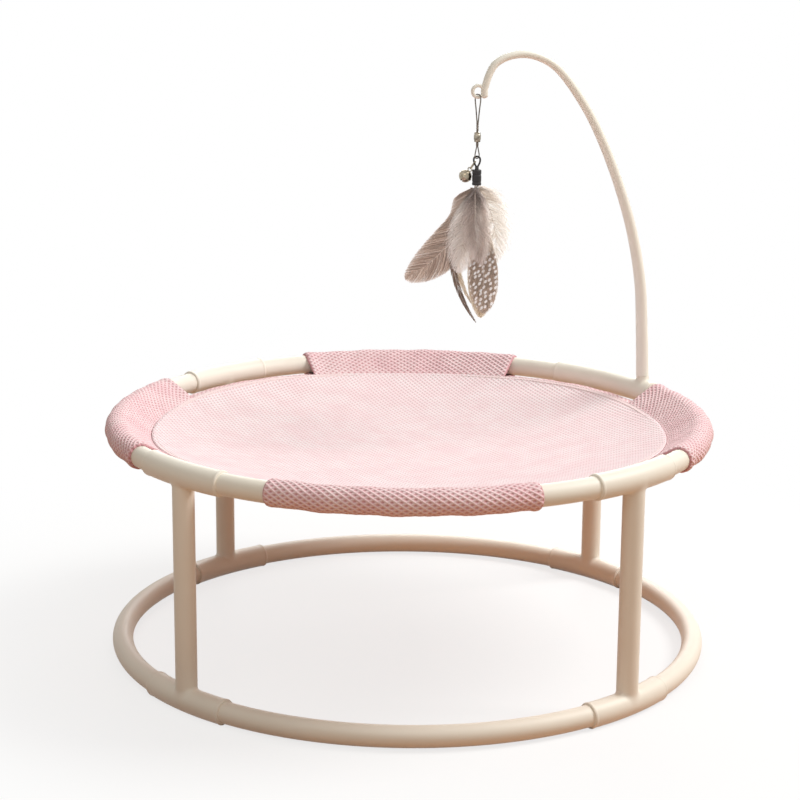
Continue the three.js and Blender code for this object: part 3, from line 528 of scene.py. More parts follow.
def even_places(line: np.ndarray, steps: int) -> np.ndarray:
    """Spaces a broken line evenly.

    Args:
        line: Its corners in order.
        steps: Number of even steps.

    Returns:
        One row for each of the steps + 1 places.
    """
    run = np.concatenate([[0], np.cumsum(np.linalg.norm(np.diff(line, axis=0), axis=1))])
    stations = np.linspace(0, run[-1], steps + 1)
    return np.stack([np.interp(stations, run, line[:, k]) for k in range(line.shape[1])], axis=1)


def smooth_path(points: Sequence[Sequence[float]], steps: int) -> np.ndarray:
    """Runs a centripetal curve through points and spaces it evenly.

    Args:
        points: The points that the curve passes.
        steps: Number of even steps.

    Returns:
        One row for each of the steps + 1 places.
    """
    given = np.asarray(points, float)
    ends = np.vstack([2 * given[0] - given[1], given, 2 * given[-1] - given[-2]])
    fine: list[np.ndarray] = []
    for i in range(1, len(ends) - 2):
        before, start, stop, after = ends[i - 1], ends[i], ends[i + 1], ends[i + 2]
        gaps = [max(np.linalg.norm(b - a) ** 0.5, 1e-6)
                for a, b in ((before, start), (start, stop), (stop, after))]
        enter = (start - before) / gaps[0] - (stop - before) / (gaps[0] + gaps[1]) + (stop - start) / gaps[1]
        leave = (stop - start) / gaps[1] - (after - start) / (gaps[1] + gaps[2]) + (after - stop) / gaps[2]
        enter, leave = enter * gaps[1], leave * gaps[1]
        for t in np.linspace(0, 1, 24, endpoint=False):
            fine.append((2 * t ** 3 - 3 * t ** 2 + 1) * start + (t ** 3 - 2 * t ** 2 + t) * enter
                        + (3 * t ** 2 - 2 * t ** 3) * stop + (t ** 3 - t ** 2) * leave)
    fine.append(given[-1])
    return even_places(np.array(fine), steps)


def grid_faces(rows: int, columns: int, wraps: bool = False, closes: bool = False) -> list[tuple[int, ...]]:
    """Four-sided faces between rows of points.

    Args:
        rows: Number of rows.
        columns: Points in each row.
        wraps: Whether the last point of a row joins its first.
        closes: Whether the last row joins the first.

    Returns:
        The faces.
    """
    faces: list[tuple[int, ...]] = []
    for row in range(rows if closes else rows - 1):
        near, far = row * columns, (row + 1) % rows * columns
        for k in range(columns if wraps else columns - 1):
            after = (k + 1) % columns
            faces.append((near + k, near + after, far + after, far + k))
    return faces


def sweep(path: np.ndarray, radii: Sequence[float] | float, sides: int, closed: bool = False) -> Shell:
    """Sweeps a round section along a path.

    Args:
        path: Centre points in order.
        radii: One radius, or one for each point.
        sides: Points round the section.
        closed: Whether the path joins its own start.

    Returns:
        The tube's shell, with flat caps unless it is closed.
    """
    count = len(path)
    sizes = np.broadcast_to(np.asarray(radii, float), (count,))
    if closed:
        tangents = np.roll(path, -1, axis=0) - np.roll(path, 1, axis=0)
    else:
        tangents = np.gradient(path, axis=0)
    tangents /= np.linalg.norm(tangents, axis=1)[:, None]
    guess = np.eye(3)[int(np.argmin(np.abs(tangents[0])))]
    across = np.cross(tangents[0], guess)
    rings: list[np.ndarray] = []
    turns = np.arange(sides) * FULL_TURN / sides
    for i in range(count):
        across = across - tangents[i] * (across @ tangents[i])
        across /= np.linalg.norm(across)
        up = np.cross(tangents[i], across)
        rings.append(path[i] + sizes[i] * (np.cos(turns)[:, None] * across + np.sin(turns)[:, None] * up))
    faces = grid_faces(count, sides, wraps=True, closes=closed)
    if not closed:
        faces.append(tuple(range(sides - 1, -1, -1)))
        faces.append(tuple(range((count - 1) * sides, count * sides)))
    return np.vstack(rings), faces


def level(degrees: float) -> np.ndarray:
    """Level direction at an angle from the frame's first axis."""
    turn = math.radians(degrees)
    return np.array([math.cos(turn), math.sin(turn), 0])


def bent_wire(
    half: Sequence[tuple[float, float]],
    middle: np.ndarray,
    side: np.ndarray,
    size: tuple[float, float],
    steps: int,
    radius: float,
    sides: int,
) -> Shell:
    """Bends a wire that is the same on both sides of its middle.

    Args:
        half: Points from the middle outward, in shares of half the width and of the length.
        middle: Place from which the points are measured.
        side: Level direction across the bend.
        size: Width and length of the bend.
        steps: Number of even steps along the wire.
        radius: The wire's radius.
        sides: Points round the wire.

    Returns:
        The wire's shell.
    """
    shares = [(-x, z) for x, z in half[:0:-1]] + list(half)
    points = [middle + side * (x * size[0] / 2) + np.array([0, 0, z * size[1]]) for x, z in shares]
    return sweep(smooth_path(points, steps), radius, sides)


def revolve(profile: Sequence[Sequence[float]], sides: int, centre: Sequence[float]) -> Shell:
    """Turns a profile about an upright axis.

    Args:
        profile: Radius and height of each point, closed on itself or with both ends on the axis.
        sides: Points round the axis.
        centre: Where height 0 of the axis lies.

    Returns:
        The turned shell.
    """
    vertices: list[tuple[float, float, float]] = []
    rows: list[list[int]] = []
    for radius, height in profile:
        if radius < 1e-9:
            rows.append([len(vertices)] * sides)
            vertices.append((centre[0], centre[1], centre[2] + height))
            continue
        rows.append(list(range(len(vertices), len(vertices) + sides)))
        for k in range(sides):
            turn = FULL_TURN * k / sides
            vertices.append((centre[0] + radius * math.cos(turn), centre[1] + radius * math.sin(turn),
                             centre[2] + height))
    open_profile = profile[0][0] < 1e-9 and profile[-1][0] < 1e-9
    faces: list[tuple[int, ...]] = []
    for i in range(len(rows) - 1 if open_profile else len(rows)):
        low, high = rows[i], rows[(i + 1) % len(rows)]
        for k in range(sides):
            after = (k + 1) % sides
            corners = list(dict.fromkeys((low[k], low[after], high[after], high[k])))
            if len(corners) > 2:
                faces.append(tuple(corners))
    return np.array(vertices), faces


def union(first: np.ndarray, second: np.ndarray, fillet: float) -> np.ndarray:
    """Joins two distance fields with a fillet.

    Args:
        first: Signed distances to one form.
        second: Signed distances to the other.
        fillet: Width of the blend between them.

    Returns:
        Signed distances to both, with the inner corner filled.
    """
    share = np.clip(0.5 + 0.5 * (second - first) / fillet, 0, 1)
    return second * (1 - share) + first * share - fillet * share * (1 - share)


def intersection(first: np.ndarray, second: np.ndarray, rounding: float) -> np.ndarray:
    """Keeps what two distance fields share, with the outer corner rounded."""
    return -union(-first, -second, rounding)


def net_surface(distance: Field, axes: Sequence[np.ndarray]) -> Shell:
    """Finds the surface of a distance field on a grid and seats every point on it.

    Args:
        distance: Signed distance for rows of points, negative inside.
        axes: Grid planes along the three directions.

    Returns:
        A closed shell of four-sided faces.
    """
    grid = np.stack(np.meshgrid(*axes, indexing="ij"), axis=-1)
    values = distance(grid.reshape(-1, 3)).reshape(grid.shape[:3])
    inside = values < 0
    sizes = [n - 1 for n in inside.shape]
    total = np.zeros((*sizes, 3))
    count = np.zeros(sizes)
    offsets = [(i, j, k) for i in (0, 1) for j in (0, 1) for k in (0, 1)]
    for a in offsets:
        for axis in range(3):
            if a[axis]:
                continue
            b = tuple(v + (1 if k == axis else 0) for k, v in enumerate(a))
            cut_a = tuple(slice(v, v + n) for v, n in zip(a, sizes))
            cut_b = tuple(slice(v, v + n) for v, n in zip(b, sizes))
            crosses = inside[cut_a] != inside[cut_b]
            va, vb = values[cut_a], values[cut_b]
            share = np.where(crosses, va / np.where(crosses, va - vb, 1), 0)[..., None]
            total += np.where(crosses[..., None], grid[cut_a] + (grid[cut_b] - grid[cut_a]) * share, 0)
            count += crosses
    used = count > 0
    number = np.full(sizes, -1)
    number[used] = np.arange(int(used.sum()))
    points = total[used] / count[used][:, None]
    faces: list[np.ndarray] = []
    for axis in range(3):
        u, v = [(1, 2), (2, 0), (0, 1)][axis]
        low = [slice(None)] * 3
        high = [slice(None)] * 3
        low[axis], high[axis] = slice(0, -1), slice(1, None)
        for cut in (low, high):
            cut[u], cut[v] = slice(1, -1), slice(1, -1)
        starts, stops = inside[tuple(low)], inside[tuple(high)]
        base = np.argwhere(starts != stops)
        flips = starts[starts != stops]
        base[:, u] += 1
        base[:, v] += 1
        corners = []
        for du, dv in ((-1, -1), (0, -1), (0, 0), (-1, 0)):
            cell = base.copy()
            cell[:, u] += du
            cell[:, v] += dv
            corners.append(number[tuple(cell.T)])
        quads = np.stack(corners, axis=1)
        quads[~flips] = quads[~flips][:, ::-1]
        faces.append(quads)
    step = 1e-3
    for _ in range(4):
        here = distance(points)
        slope = np.stack([(distance(points + step * np.eye(3)[k]) - here) / step for k in range(3)], axis=1)
        points = points - here[:, None] * slope / np.maximum((slope ** 2).sum(1), 0.2)[:, None]
    return points, [tuple(int(i) for i in quad) for quad in np.concatenate(faces)]


def node_place(node: str) -> tuple[Vector, Vector, Vector]:
    """Lowest corner, highest corner and middle of a frame node, in millimetres."""
    low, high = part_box(node)
    return low / MM, high / MM, (low + high) / 2 / MM


@dataclass
class Layout:
    """Sizes of the frame that every sub-assembly shares, as the frame's nodes have them."""

    ring_radius: float = 240.0
    tube_radius: float = 8.5
    leg_radius: float = 8.5
    connector_radius: float = 10.0
    lower_height: float = 9.5
    upper_height: float = 189.5
    boss_reach: float = 12.5
    connector_arm: float = 42.0
    connector_web: float = 14.5
    wand_offset: float = 60.7
    socket_land: float = 16.8
    leg_degrees: tuple[float, ...] = (45.0, 135.0, 225.0, 315.0)
    corner_names: tuple[str, ...] = ("back_right", "back_left", "front_left", "front_right")
    span_names: tuple[str, ...] = ("back", "left", "front", "right")

    def arc(self, length: float) -> float:
        """Angle of a length of the rings, in radians."""
        return length / self.ring_radius

    def on_ring(self, angle: float, radius: float, height: float) -> tuple[float, float, float]:
        """Point at an angle, a radius and a height."""
        return radius * math.cos(angle), radius * math.sin(angle), height


@dataclass
class RingFrame:
    """Two rings of bent tube, their moulded connectors and the four legs."""

    layout: Layout
    rim_width: float = 1.8
    rim_rise: float = 0.32
    rim_inset: float = 1.5
    edge_round: float = 0.8
    boss_fillet: float = 2.6
    boss_inset: float = 0.06
    leg_overlap: float = 1.0
    socket_fillet: float = 3.4
    socket_radius: float = 5.5
    socket_stand: float = 4.0
    cell: float = 0.8
    fine_cell: float = 0.4
    fine_reach: float = 4.5
    tube_sides: int = 48

    def build(self) -> None:
        """Builds every tube, connector and leg of the frame."""
        plastic = CONNECTOR_PLASTIC.build()
        coat = TUBE_COAT.build()
        sizes = self.layout
        plain_arm = (sizes.connector_arm, sizes.connector_arm)
        wand_arm = (sizes.wand_offset + sizes.socket_land, sizes.connector_arm)
        foot = self.connector_shell(plain_arm, 1, True, False)
        head = self.connector_shell(plain_arm, -1, False, False)
        socket = self.connector_shell(wand_arm, -1, False, True)
        for level, height in (("lower", sizes.lower_height), ("upper", sizes.upper_height)):
            for i, corner in enumerate(sizes.corner_names):
                shell = foot if level == "lower" else (socket if i == 0 else head)
                name = f"{level}_connector_{corner}"
                placed = (self.wrap(shell[0], math.radians(sizes.leg_degrees[i]), height), shell[1])
                mesh_piece(f"{name}_moulding", [placed], plastic, "frame", [name])
            for i, span in enumerate(sizes.span_names):
                name = f"{level}_tube_{span}"
                mesh_piece(f"{name}_bend", [self.tube_shell(i, height)], coat, "frame", [name])
        for i, corner in enumerate(sizes.corner_names):
            name = f"leg_{corner}"
            mesh_piece(f"{name}_post", [self.leg_shell(i)], coat, "frame", [name], 40)

    def wrap(self, points: np.ndarray, leg: float, height: float) -> np.ndarray:
        """Bends points from the straight layout onto the ring.

        Args:
            points: Length along the ring, distance out and height, from the leg's centre.
            leg: The leg's angle in radians.
            height: The ring's height.

        Returns:
            The points in the frame's place.
        """
        radius = self.layout.ring_radius
        angle = leg + points[:, 0] / radius
        reach = radius + points[:, 1]
        return np.stack([reach * np.cos(angle), reach * np.sin(angle), points[:, 2] + height], axis=1)

    def connector_shell(self, arms: tuple[float, float], side: int, foot: bool, socket: bool) -> Shell:
        """Moulding of one connector, laid out straight.

        Args:
            arms: Length of the sleeve before and after the leg.
            side: 1 where the leg stands above, -1 where it hangs below.
            foot: Whether the resting flat is cut under it.
            socket: Whether it carries the wand's socket.

        Returns:
            The shell, with length along the ring, distance out and height.
        """
        sizes = self.layout
        middle, half = (arms[1] - arms[0]) / 2, (arms[0] + arms[1]) / 2

        def distance(p: np.ndarray) -> np.ndarray:
            """Signed distance to the moulding."""
            along = np.abs(p[:, 0] - middle)
            rim = np.exp(-((half - self.rim_inset - along) / (self.rim_width / 2)) ** 2)
            sleeve = np.hypot(p[:, 1], p[:, 2]) - sizes.connector_radius - self.rim_rise * rim
            sleeve = intersection(sleeve, along - half, self.edge_round)
            boss = np.hypot(p[:, 0], p[:, 1]) - sizes.leg_radius + self.boss_inset
            boss = np.maximum(boss, side * p[:, 2] - sizes.boss_reach)
            boss = np.maximum(boss, -side * p[:, 2])
            form = union(sleeve, boss, self.boss_fillet)
            if socket:
                post = np.hypot(p[:, 0] + sizes.wand_offset, p[:, 1]) - self.socket_radius
                top = sizes.connector_radius + self.socket_stand
                post = np.maximum(intersection(post, p[:, 2] - top, 0.5), -p[:, 2])
                form = union(form, post, self.socket_fillet)
            if foot:
                form = np.maximum(form, -p[:, 2] - sizes.lower_height)
            return form

        reach = sizes.connector_radius + 1.2
        along = np.concatenate([
            np.arange(-arms[0] - 1, -arms[0] + self.fine_reach, self.fine_cell),
            np.arange(-arms[0] + self.fine_reach, arms[1] - self.fine_reach, self.cell),
            np.arange(arms[1] - self.fine_reach, arms[1] + 1.2, self.fine_cell)])
        low = -reach if side > 0 else -sizes.boss_reach - 1
        high = reach if side < 0 else sizes.boss_reach + 1
        if socket:
            high = sizes.connector_radius + self.socket_stand + 1
        axes = [along, np.arange(-reach, reach, self.cell), np.arange(low, high, self.cell)]
        return net_surface(distance, axes)

    def tube_shell(self, span: int, height: float) -> Shell:
        """Bent tube between two connectors.

        Args:
            span: Which quarter of the ring it is.
            height: The ring's height.

        Returns:
            The swept tube.
        """
        sizes = self.layout
        start = math.radians(sizes.leg_degrees[span]) + sizes.arc(sizes.connector_web)
        stop = math.radians(sizes.leg_degrees[span]) + math.pi / 2 - sizes.arc(sizes.connector_web)
        path = np.array([sizes.on_ring(a, sizes.ring_radius, height) for a in np.linspace(start, stop, 97)])
        return sweep(path, sizes.tube_radius, self.tube_sides)

    def leg_shell(self, corner: int) -> Shell:
        """Straight leg between the two bosses, with slightly eased ends.

        Args:
            corner: Which leg it is.

        Returns:
            The turned leg.
        """
        sizes = self.layout
        x, y, _ = sizes.on_ring(math.radians(sizes.leg_degrees[corner]), sizes.ring_radius, 0)
        low = sizes.lower_height + sizes.boss_reach - self.leg_overlap
        high = sizes.upper_height - sizes.boss_reach + self.leg_overlap
        outer, inner, ease = sizes.leg_radius, sizes.leg_radius - 2, 0.12
        profile = [(inner, low), (outer - ease, low), (outer, low + ease), (outer, high - ease),
                   (outer - ease, high), (inner, high)]
        return revolve(profile, self.tube_sides, (x, y, 0))


# The slack mesh hangs light and barely stretches
PANEL_HANG = {"quality": 6, "mass": 0.25, "tension_stiffness": 18, "compression_stiffness": 6,
              "shear_stiffness": 4, "bending_stiffness": 0.35, "air_damping": 3}


@dataclass
class Hammock:
    """Sewn cloth: a round panel, a seam tape, and four sleeves of large-hole mesh."""

    layout: Layout
    seam_radius: float = 213.0
    drop_at_sleeve: float = 8.0
    drop_at_leg: float = 4.0
    sag: float = 34.0
    sag_power: float = 2.2
    fold_height: float = 1.4
    folds: int = 8
    cloth_thickness: float = 1.4
    panel_thickness: float = 2.4
    panel_turn: float = 84.0
    wrap_radius: float = 10.15
    relief: float = 0.55
    relief_step: tuple[float, float] = (1.05, 0.8)
    hem_inset: float = 15.0
    hem_flare: float = 5.5
    hem_curve: float = 13.0
    hem_dip: float = 1.5
    tape_width: float = 5.0
    tape_rise: float = 0.7
    stitch_pitch: float = 3.2
    panel_cells: int = 88
    settle_limit: float = 1.6
    settle_frames: int = 24
    end_tuck: float = 1.25
    tuck_reach: float = 2.6
    end_puff: float = 0.55
    bare: dict[str, tuple[float, float]] = field(default_factory=lambda: {
        "back": (45.0, 45.0), "left": (32.0, 20.0), "front": (41.0, 49.0), "right": (25.0, 3.0)})

    def build(self) -> None:
        """Builds the panel, the sleeves, the seam tape and the stitches."""
        trims = self.build_seam()
        self.build_panel()
        band = BAND_MESH.build()
        for i, span in enumerate(self.layout.span_names):
            self.build_sleeve(i, span, band)

    def drop(self, angle: np.ndarray | float) -> np.ndarray:
        """How far the seam lies below the upper ring at an angle."""
        towards_leg = (1 - np.cos(4 * np.asarray(angle))) / 2
        return self.drop_at_sleeve + (self.drop_at_leg - self.drop_at_sleeve) * towards_leg

    def panel_height(self, share: np.ndarray | float, angle: np.ndarray | float) -> np.ndarray:
        """Height of the slack panel's middle.

        Args:
            share: Share of its radius.
            angle: Angle round the ring.

        Returns:
            The height, with the bowl and its soft pull folds.
        """
        share = np.asarray(share, float)
        bowl = self.sag + (self.drop(angle) - self.sag) * share ** self.sag_power
        swell = 27 / 4 * share ** 2 * (1 - share)
        fold = self.fold_height * swell * (1 - np.cos(self.folds * np.asarray(angle))) / 2
        return self.layout.upper_height - bowl + fold

    def build_panel(self) -> None:
        """Cuts the round panel, lets it hang from its seam and gives it its mesh finish.
        """
        cells = self.panel_cells
        rim = self.seam_radius - 0.4
        line = np.linspace(-1, 1, cells + 1)
        a, b = np.meshgrid(line, line, indexing="ij")
        a, b = a.ravel(), b.ravel()
        x = a * np.sqrt(1 - b * b / 2)
        y = b * np.sqrt(1 - a * a / 2)
        share, angle = np.hypot(x, y), np.arctan2(y, x)
        noise = np.random.default_rng(SEED)
        flat_height = self.panel_height(share, angle)
        height = flat_height + noise.normal(0, 0.2, share.shape) * (share < 0.985)
        vertices = np.stack([rim * x, rim * y, height], axis=1)
        faces = grid_faces(cells + 1, cells + 1)
        piece = mesh_piece("panel_cloth", [(vertices, faces)], PANEL_MESH.build(), "frame",
                           ["hammock_panel"])
        self.settle(piece, np.flatnonzero(share > 0.985))
        self.hold_bowl(piece, vertices, flat_height)
        turn = math.radians(self.panel_turn)
        along = (x * math.cos(turn) + y * math.sin(turn)) * rim
        across = (-x * math.sin(turn) + y * math.cos(turn)) * rim
        set_attribute(piece, "cloth", np.stack([along, across, 0 * along + 9], axis=1))
        self.thicken(piece, self.panel_thickness, 1, 0.0)

    def settle(self, piece: bpy.types.Object, pinned: np.ndarray) -> None:
        """Lets the cloth hang from its pinned rim and keeps the settled shape.

        Args:
            piece: The cloth.
            pinned: Vertices that the seam holds.
        """
        group = piece.vertex_groups.new(name="seam")
        group.add([int(i) for i in pinned], 1.0, "REPLACE")
        modifier = piece.modifiers.new("hang", "CLOTH")
        for key, value in PANEL_HANG.items():
            setattr(modifier.settings, key, value)
        modifier.settings.vertex_group_mass = "seam"
        modifier.point_cache.frame_start = 1
        modifier.point_cache.frame_end = self.settle_frames
        scene = bpy.context.scene
        for step in range(1, self.settle_frames + 1):
            scene.frame_set(step)
        shaped = piece.evaluated_get(bpy.context.evaluated_depsgraph_get())
        places = np.empty(len(piece.data.vertices) * 3, np.float32)
        shaped.data.vertices.foreach_get("co", places)
        piece.modifiers.remove(modifier)
        piece.data.vertices.foreach_set("co", places)
        piece.data.update()
        piece.vertex_groups.clear()
        scene.frame_set(1)

    def hold_bowl(self, piece: bpy.types.Object, cut: np.ndarray, designed: np.ndarray) -> None:
        """Brings the settled cloth back to the bowl that the seam and the cut give it.

        Args:
            piece: The settled cloth.
            cut: Its places before it settled.
            designed: Height of the bowl at each place.
        """
        places = np.empty(len(piece.data.vertices) * 3, np.float32)
        piece.data.vertices.foreach_get("co", places)
        places = places.reshape(-1, 3) / MM
        top = self.layout.upper_height
        middle = len(places) // 2
        scale = (top - designed[middle] - self.drop_at_leg) / (top - places[middle, 2] - self.drop_at_leg)
        hung = top - self.drop_at_leg - (top - self.drop_at_leg - places[:, 2]) * scale
        moved = np.clip(hung - designed, -4 * self.settle_limit, 4 * self.settle_limit)
        places[:, 2] = designed + self.settle_limit * np.tanh(moved / self.settle_limit)
        shift = np.clip(places[:, :2] - cut[:, :2], -self.settle_limit, self.settle_limit)
        places[:, :2] = cut[:, :2] + shift
        piece.data.vertices.foreach_set("co", (places * MM).astype(np.float32).ravel())
        piece.data.update()

    def thicken(self, piece: bpy.types.Object, thickness: float, levels: int, offset: float) -> None:
        """Subdivides cloth, gives it its thickness and applies both.

        Args:
            piece: The cloth.
            thickness: Real thickness.
            levels: Rounds of subdivision.
            offset: -1 to grow inward, 1 outward, 0 both ways.
        """
        if levels:
            smooth = piece.modifiers.new("smooth", "SUBSURF")
            smooth.levels = smooth.render_levels = levels
        thick = piece.modifiers.new("thick", "SOLIDIFY")
        thick.thickness = thickness * MM
        thick.offset = offset
        thick.use_rim = True
        shaped = piece.evaluated_get(bpy.context.evaluated_depsgraph_get())
        mesh = bpy.data.meshes.new_from_object(shaped)
        piece.modifiers.clear()
        piece.data = mesh
        mesh.shade_smooth()

    def wrap_section(self, drop: float, radius: float, count: int) -> np.ndarray:
        """Loop of cloth from the seam over the tube and back to the seam.

        Args:
            drop: Seam's depth below the tube's centre.
            radius: Radius of the cloth's middle round the tube.
            count: Points of the loop.

        Returns:
            Distance out from the tube's centre and height, from the upper seam edge to the lower.
        """
        inset = self.layout.ring_radius - self.seam_radius
        turns = []
        tips = [np.array([-inset, -drop + sign * 0.8]) for sign in (1, -1)]
        for sign, tip in zip((1, -1), tips):
            lean = math.acos(radius / np.hypot(*tip))
            turns.append((math.atan2(tip[1], tip[0]) - sign * lean) % FULL_TURN)
        arc_turns = np.linspace(turns[0], turns[1] - FULL_TURN, 64)
        arc = np.stack([radius * np.cos(arc_turns), radius * np.sin(arc_turns)], axis=1)
        return even_places(np.vstack([tips[0], arc, tips[1]]), count - 1)

    def build_sleeve(self, index: int, span: str, band: bpy.types.Material) -> None:
        """Wraps one sleeve round the upper ring and hems it on to the legs beside it.

        Args:
            index: Which quarter of the ring.
            span: The quarter's name.
            band: The cloth's finish.
        """
        sizes = self.layout
        leg = math.radians(sizes.leg_degrees[index])
        far_arm = sizes.wand_offset + sizes.socket_land if span == "right" else sizes.connector_arm
        start = leg + sizes.arc(sizes.connector_arm + self.bare[span][0])
        stop = leg + math.pi / 2 - sizes.arc(far_arm + self.bare[span][1])
        length = (stop - start) * sizes.ring_radius
        loop = self.wrap_section(float(self.drop((start + stop) / 2)), self.wrap_radius, 400)
        width = float(np.linalg.norm(np.diff(loop, axis=0), axis=1).sum())
        rows, columns = int(length / self.relief_step[0]) + 1, int(width / self.relief_step[1]) + 1
        vertices = np.zeros((rows, columns, 3))
        flat = np.zeros((rows, columns, 3))
        noise = random.Random(SEED + index)
        phases = [noise.uniform(0, FULL_TURN) for _ in range(3)]
        steps = np.linspace(0, width, columns)
        from_seam = np.minimum(steps, width - steps)
        free = smoothstep(from_seam, 1.0, 9.0)
        for row in range(rows):
            run = length * row / (rows - 1)
            angle = start + sizes.arc(run)
            from_end = max(0.0, min(run, length - run))
            shape = self.wrap_section(float(self.drop(angle)), self.wrap_radius, columns)
            grown = self.swell(run, from_end, steps, phases) * free
            out = np.gradient(shape, axis=0)
            out = np.stack([-out[:, 1], out[:, 0]], axis=1) / np.hypot(out[:, 0], out[:, 1])[:, None]
            shape = shape + out * grown[:, None]
            reach = sizes.ring_radius + shape[:, 0]
            vertices[row] = np.stack([reach * math.cos(angle), reach * math.sin(angle),
                                      sizes.upper_height + shape[:, 1]], axis=1)
            flat[row] = np.stack([0 * steps + run, steps, 0 * steps + from_end], axis=1)
        name = f"sleeve_{span}"
        piece = mesh_piece(f"{name}_cloth", [(vertices.reshape(-1, 3), grid_faces(rows, columns))], band,
                           "frame", [name])
        set_attribute(piece, "cloth", flat.reshape(-1, 3))
        self.thicken(piece, self.cloth_thickness, 0, self.inward(piece))
        hems = [self.build_hem(f"{name}_first_hem", band, start, leg),
                self.build_hem(f"{name}_second_hem", band, stop, leg + math.pi / 2)]

    def swell(self, run: float, from_end: float, steps: np.ndarray, phases: Sequence[float]) -> np.ndarray:
        """How far the sleeve stands off its plain wrap at places round it.

        Args:
            run: Place along the sleeve.
            from_end: Distance from the nearer folded end.
            steps: Places round it.
            phases: The sleeve's own shifts of its slack waves.

        Returns:
            The tucked end, the puff beside it, the slack waves and the weave together.
        """
        tuck = self.end_tuck * (1 - math.sqrt(1 - max(0.0, 1 - from_end / self.tuck_reach) ** 2))
        puff = self.end_puff * math.exp(-((from_end - 4.5) / 3.5) ** 2)
        slack = 0.3 * math.sin(run / 9 + phases[0]) * np.sin(steps / 11 + phases[1])
        slack = slack + 0.22 * np.sin(run / 4.3 + phases[2] + steps / 17)
        weave = self.relief * (self.weave_height(run, steps) - 0.6)
        return (puff - tuck) + (slack + weave) * min(1.0, from_end / 3)

    def weave_height(self, run: float, steps: np.ndarray) -> np.ndarray:
        """Height of the mesh at places of the flat cut, 0 in a hole and 1 on the yarns.

        Args:
            run: Place along the sleeve.
            steps: Places round it.

        Returns:
            The eased heights.
        """
        along, across = run / BAND_MESH.run, steps / (2 * BAND_MESH.row)
        thin, bold = [1 - 2 * np.abs((line + 1) % 1 - 0.5) for line in (along + across, along - across)]
        return np.sin(np.maximum(BAND_MESH.thin_yarn * thin, bold) * math.pi / 2)

    def inward(self, piece: bpy.types.Object) -> float:
        """Solidify's offset that grows a sleeve towards its tube."""
        face = max(piece.data.polygons, key=lambda p: p.center.z)
        return -1.0 if face.normal.z > 0 else 1.0

    def build_hem(self, name: str, band: bpy.types.Material, end: float, leg: float) -> bpy.types.Object:
        """Adds the hemmed strip of band between a sleeve's end and the leg beside it.

        Args:
            name: The piece's name.
            band: The cloth's finish.
            end: Angle of the sleeve's end.
            leg: Angle of the leg.

        Returns:
            The strip, with its folded edge.
        """
        sizes = self.layout
        columns = 14
        ahead = math.copysign(1.0, leg - end)
        reach = abs(leg - end) * sizes.ring_radius
        aways = np.concatenate([np.linspace(-1, self.hem_curve, 18)[:-1],
                                np.linspace(self.hem_curve, reach - 0.15, max(4, int(reach / 2.5)))])
        shares = np.linspace(0, 1, columns)
        inset = sizes.ring_radius - self.seam_radius
        rows, flat = [], []
        for away in aways:
            angle = end + ahead * sizes.arc(away)
            bend = float(np.clip(1 - away / self.hem_curve, 0, 1))
            edge = self.hem_inset - self.hem_flare * (1 - math.sqrt(1 - bend ** 2))
            seam = -float(self.drop(angle))
            hem = seam - self.hem_dip * (inset - edge) / (inset - self.hem_inset)
            half = 1.15 - 0.35 * smoothstep(shares, 0, 0.6) + 0.35 * np.exp(-((shares - 0.86) / 0.1) ** 2)
            half = half * np.sqrt(np.clip(1 - smoothstep(shares, 0.86, 1.02), 0, 1))
            ripple = 0.25 * math.sin(away / 5.5) * shares
            radius = sizes.ring_radius - inset + (inset - edge) * shares
            middle = sizes.upper_height + seam + (hem - seam) * shares + ripple
            for out, height in ((radius, middle + half), (radius[::-1], (middle - half)[::-1])):
                rows.append(np.stack([out * math.cos(angle), out * math.sin(angle), height], axis=1))
            place = np.stack([0 * shares + away * ahead, radius - self.seam_radius, 0 * shares + 9], axis=1)
            flat.extend([place, place[::-1]])
        count = 2 * columns
        faces = grid_faces(len(aways), count, wraps=True)
        faces.append(tuple(range(count)))
        faces.append(tuple(range(len(aways) * count - 1, (len(aways) - 1) * count - 1, -1)))
        piece = mesh_piece(name, [(np.vstack(rows), faces)], band, "frame", smooth_angle=70)
        set_attribute(piece, "cloth", np.vstack(flat))
        return piece

    def build_seam(self) -> list[bpy.types.Object]:
        """Lays the seam tape on the panel's edge and sews it down with two rows of stitches.

        Returns:
            The tape and the stitches.
        """
        sizes = self.layout
        columns, steps = 11, 540
        outer = self.seam_radius - 0.2
        across = np.linspace(outer - self.tape_width, outer, columns)
        middle = outer - self.tape_width / 2
        edge = np.abs(2 * (across - middle) / self.tape_width) ** 4
        rise = self.tape_rise * np.sqrt(np.clip(1 - edge, 0, 1))
        rows = []
        for i in range(steps):
            angle = FULL_TURN * i / steps
            base = self.panel_height(across / self.seam_radius, angle) + self.panel_thickness / 2
            pucker = 1 - 0.25 * math.sin(i * FULL_TURN / 3) ** 2
            heights = np.concatenate([base + rise * pucker, (base - 0.4)[::-1]])
            out = np.concatenate([across, across[::-1]])
            rows.append(np.stack([out * math.cos(angle), out * math.sin(angle), heights], axis=1))
        faces = grid_faces(steps, 2 * columns, wraps=True, closes=True)
        tape = mesh_piece("seam_tape", [(np.vstack(rows), faces)], SEAM_TAPE.build(), "frame")
        stitches: list[Shell] = []
        number = int(FULL_TURN * middle / self.stitch_pitch)
        for side in (-1, 1):
            radius = middle + side * (self.tape_width / 2 - 0.9)
            for i in range(number):
                line = []
                for share in (0.0, 0.12, 0.5, 0.88, 1.0):
                    angle = FULL_TURN * (i + 0.7 * share) / number
                    base = float(self.panel_height(radius / self.seam_radius, angle))
                    base += self.panel_thickness / 2
                    lift = self.tape_rise - 0.12 + 0.25 * math.sin(math.pi * share)
                    line.append(sizes.on_ring(angle, radius, base + lift))
                stitches.append(sweep(np.array(line), 0.28, 5))
        thread = mesh_piece("seam_stitches", stitches, STITCH_THREAD.build(), "frame")
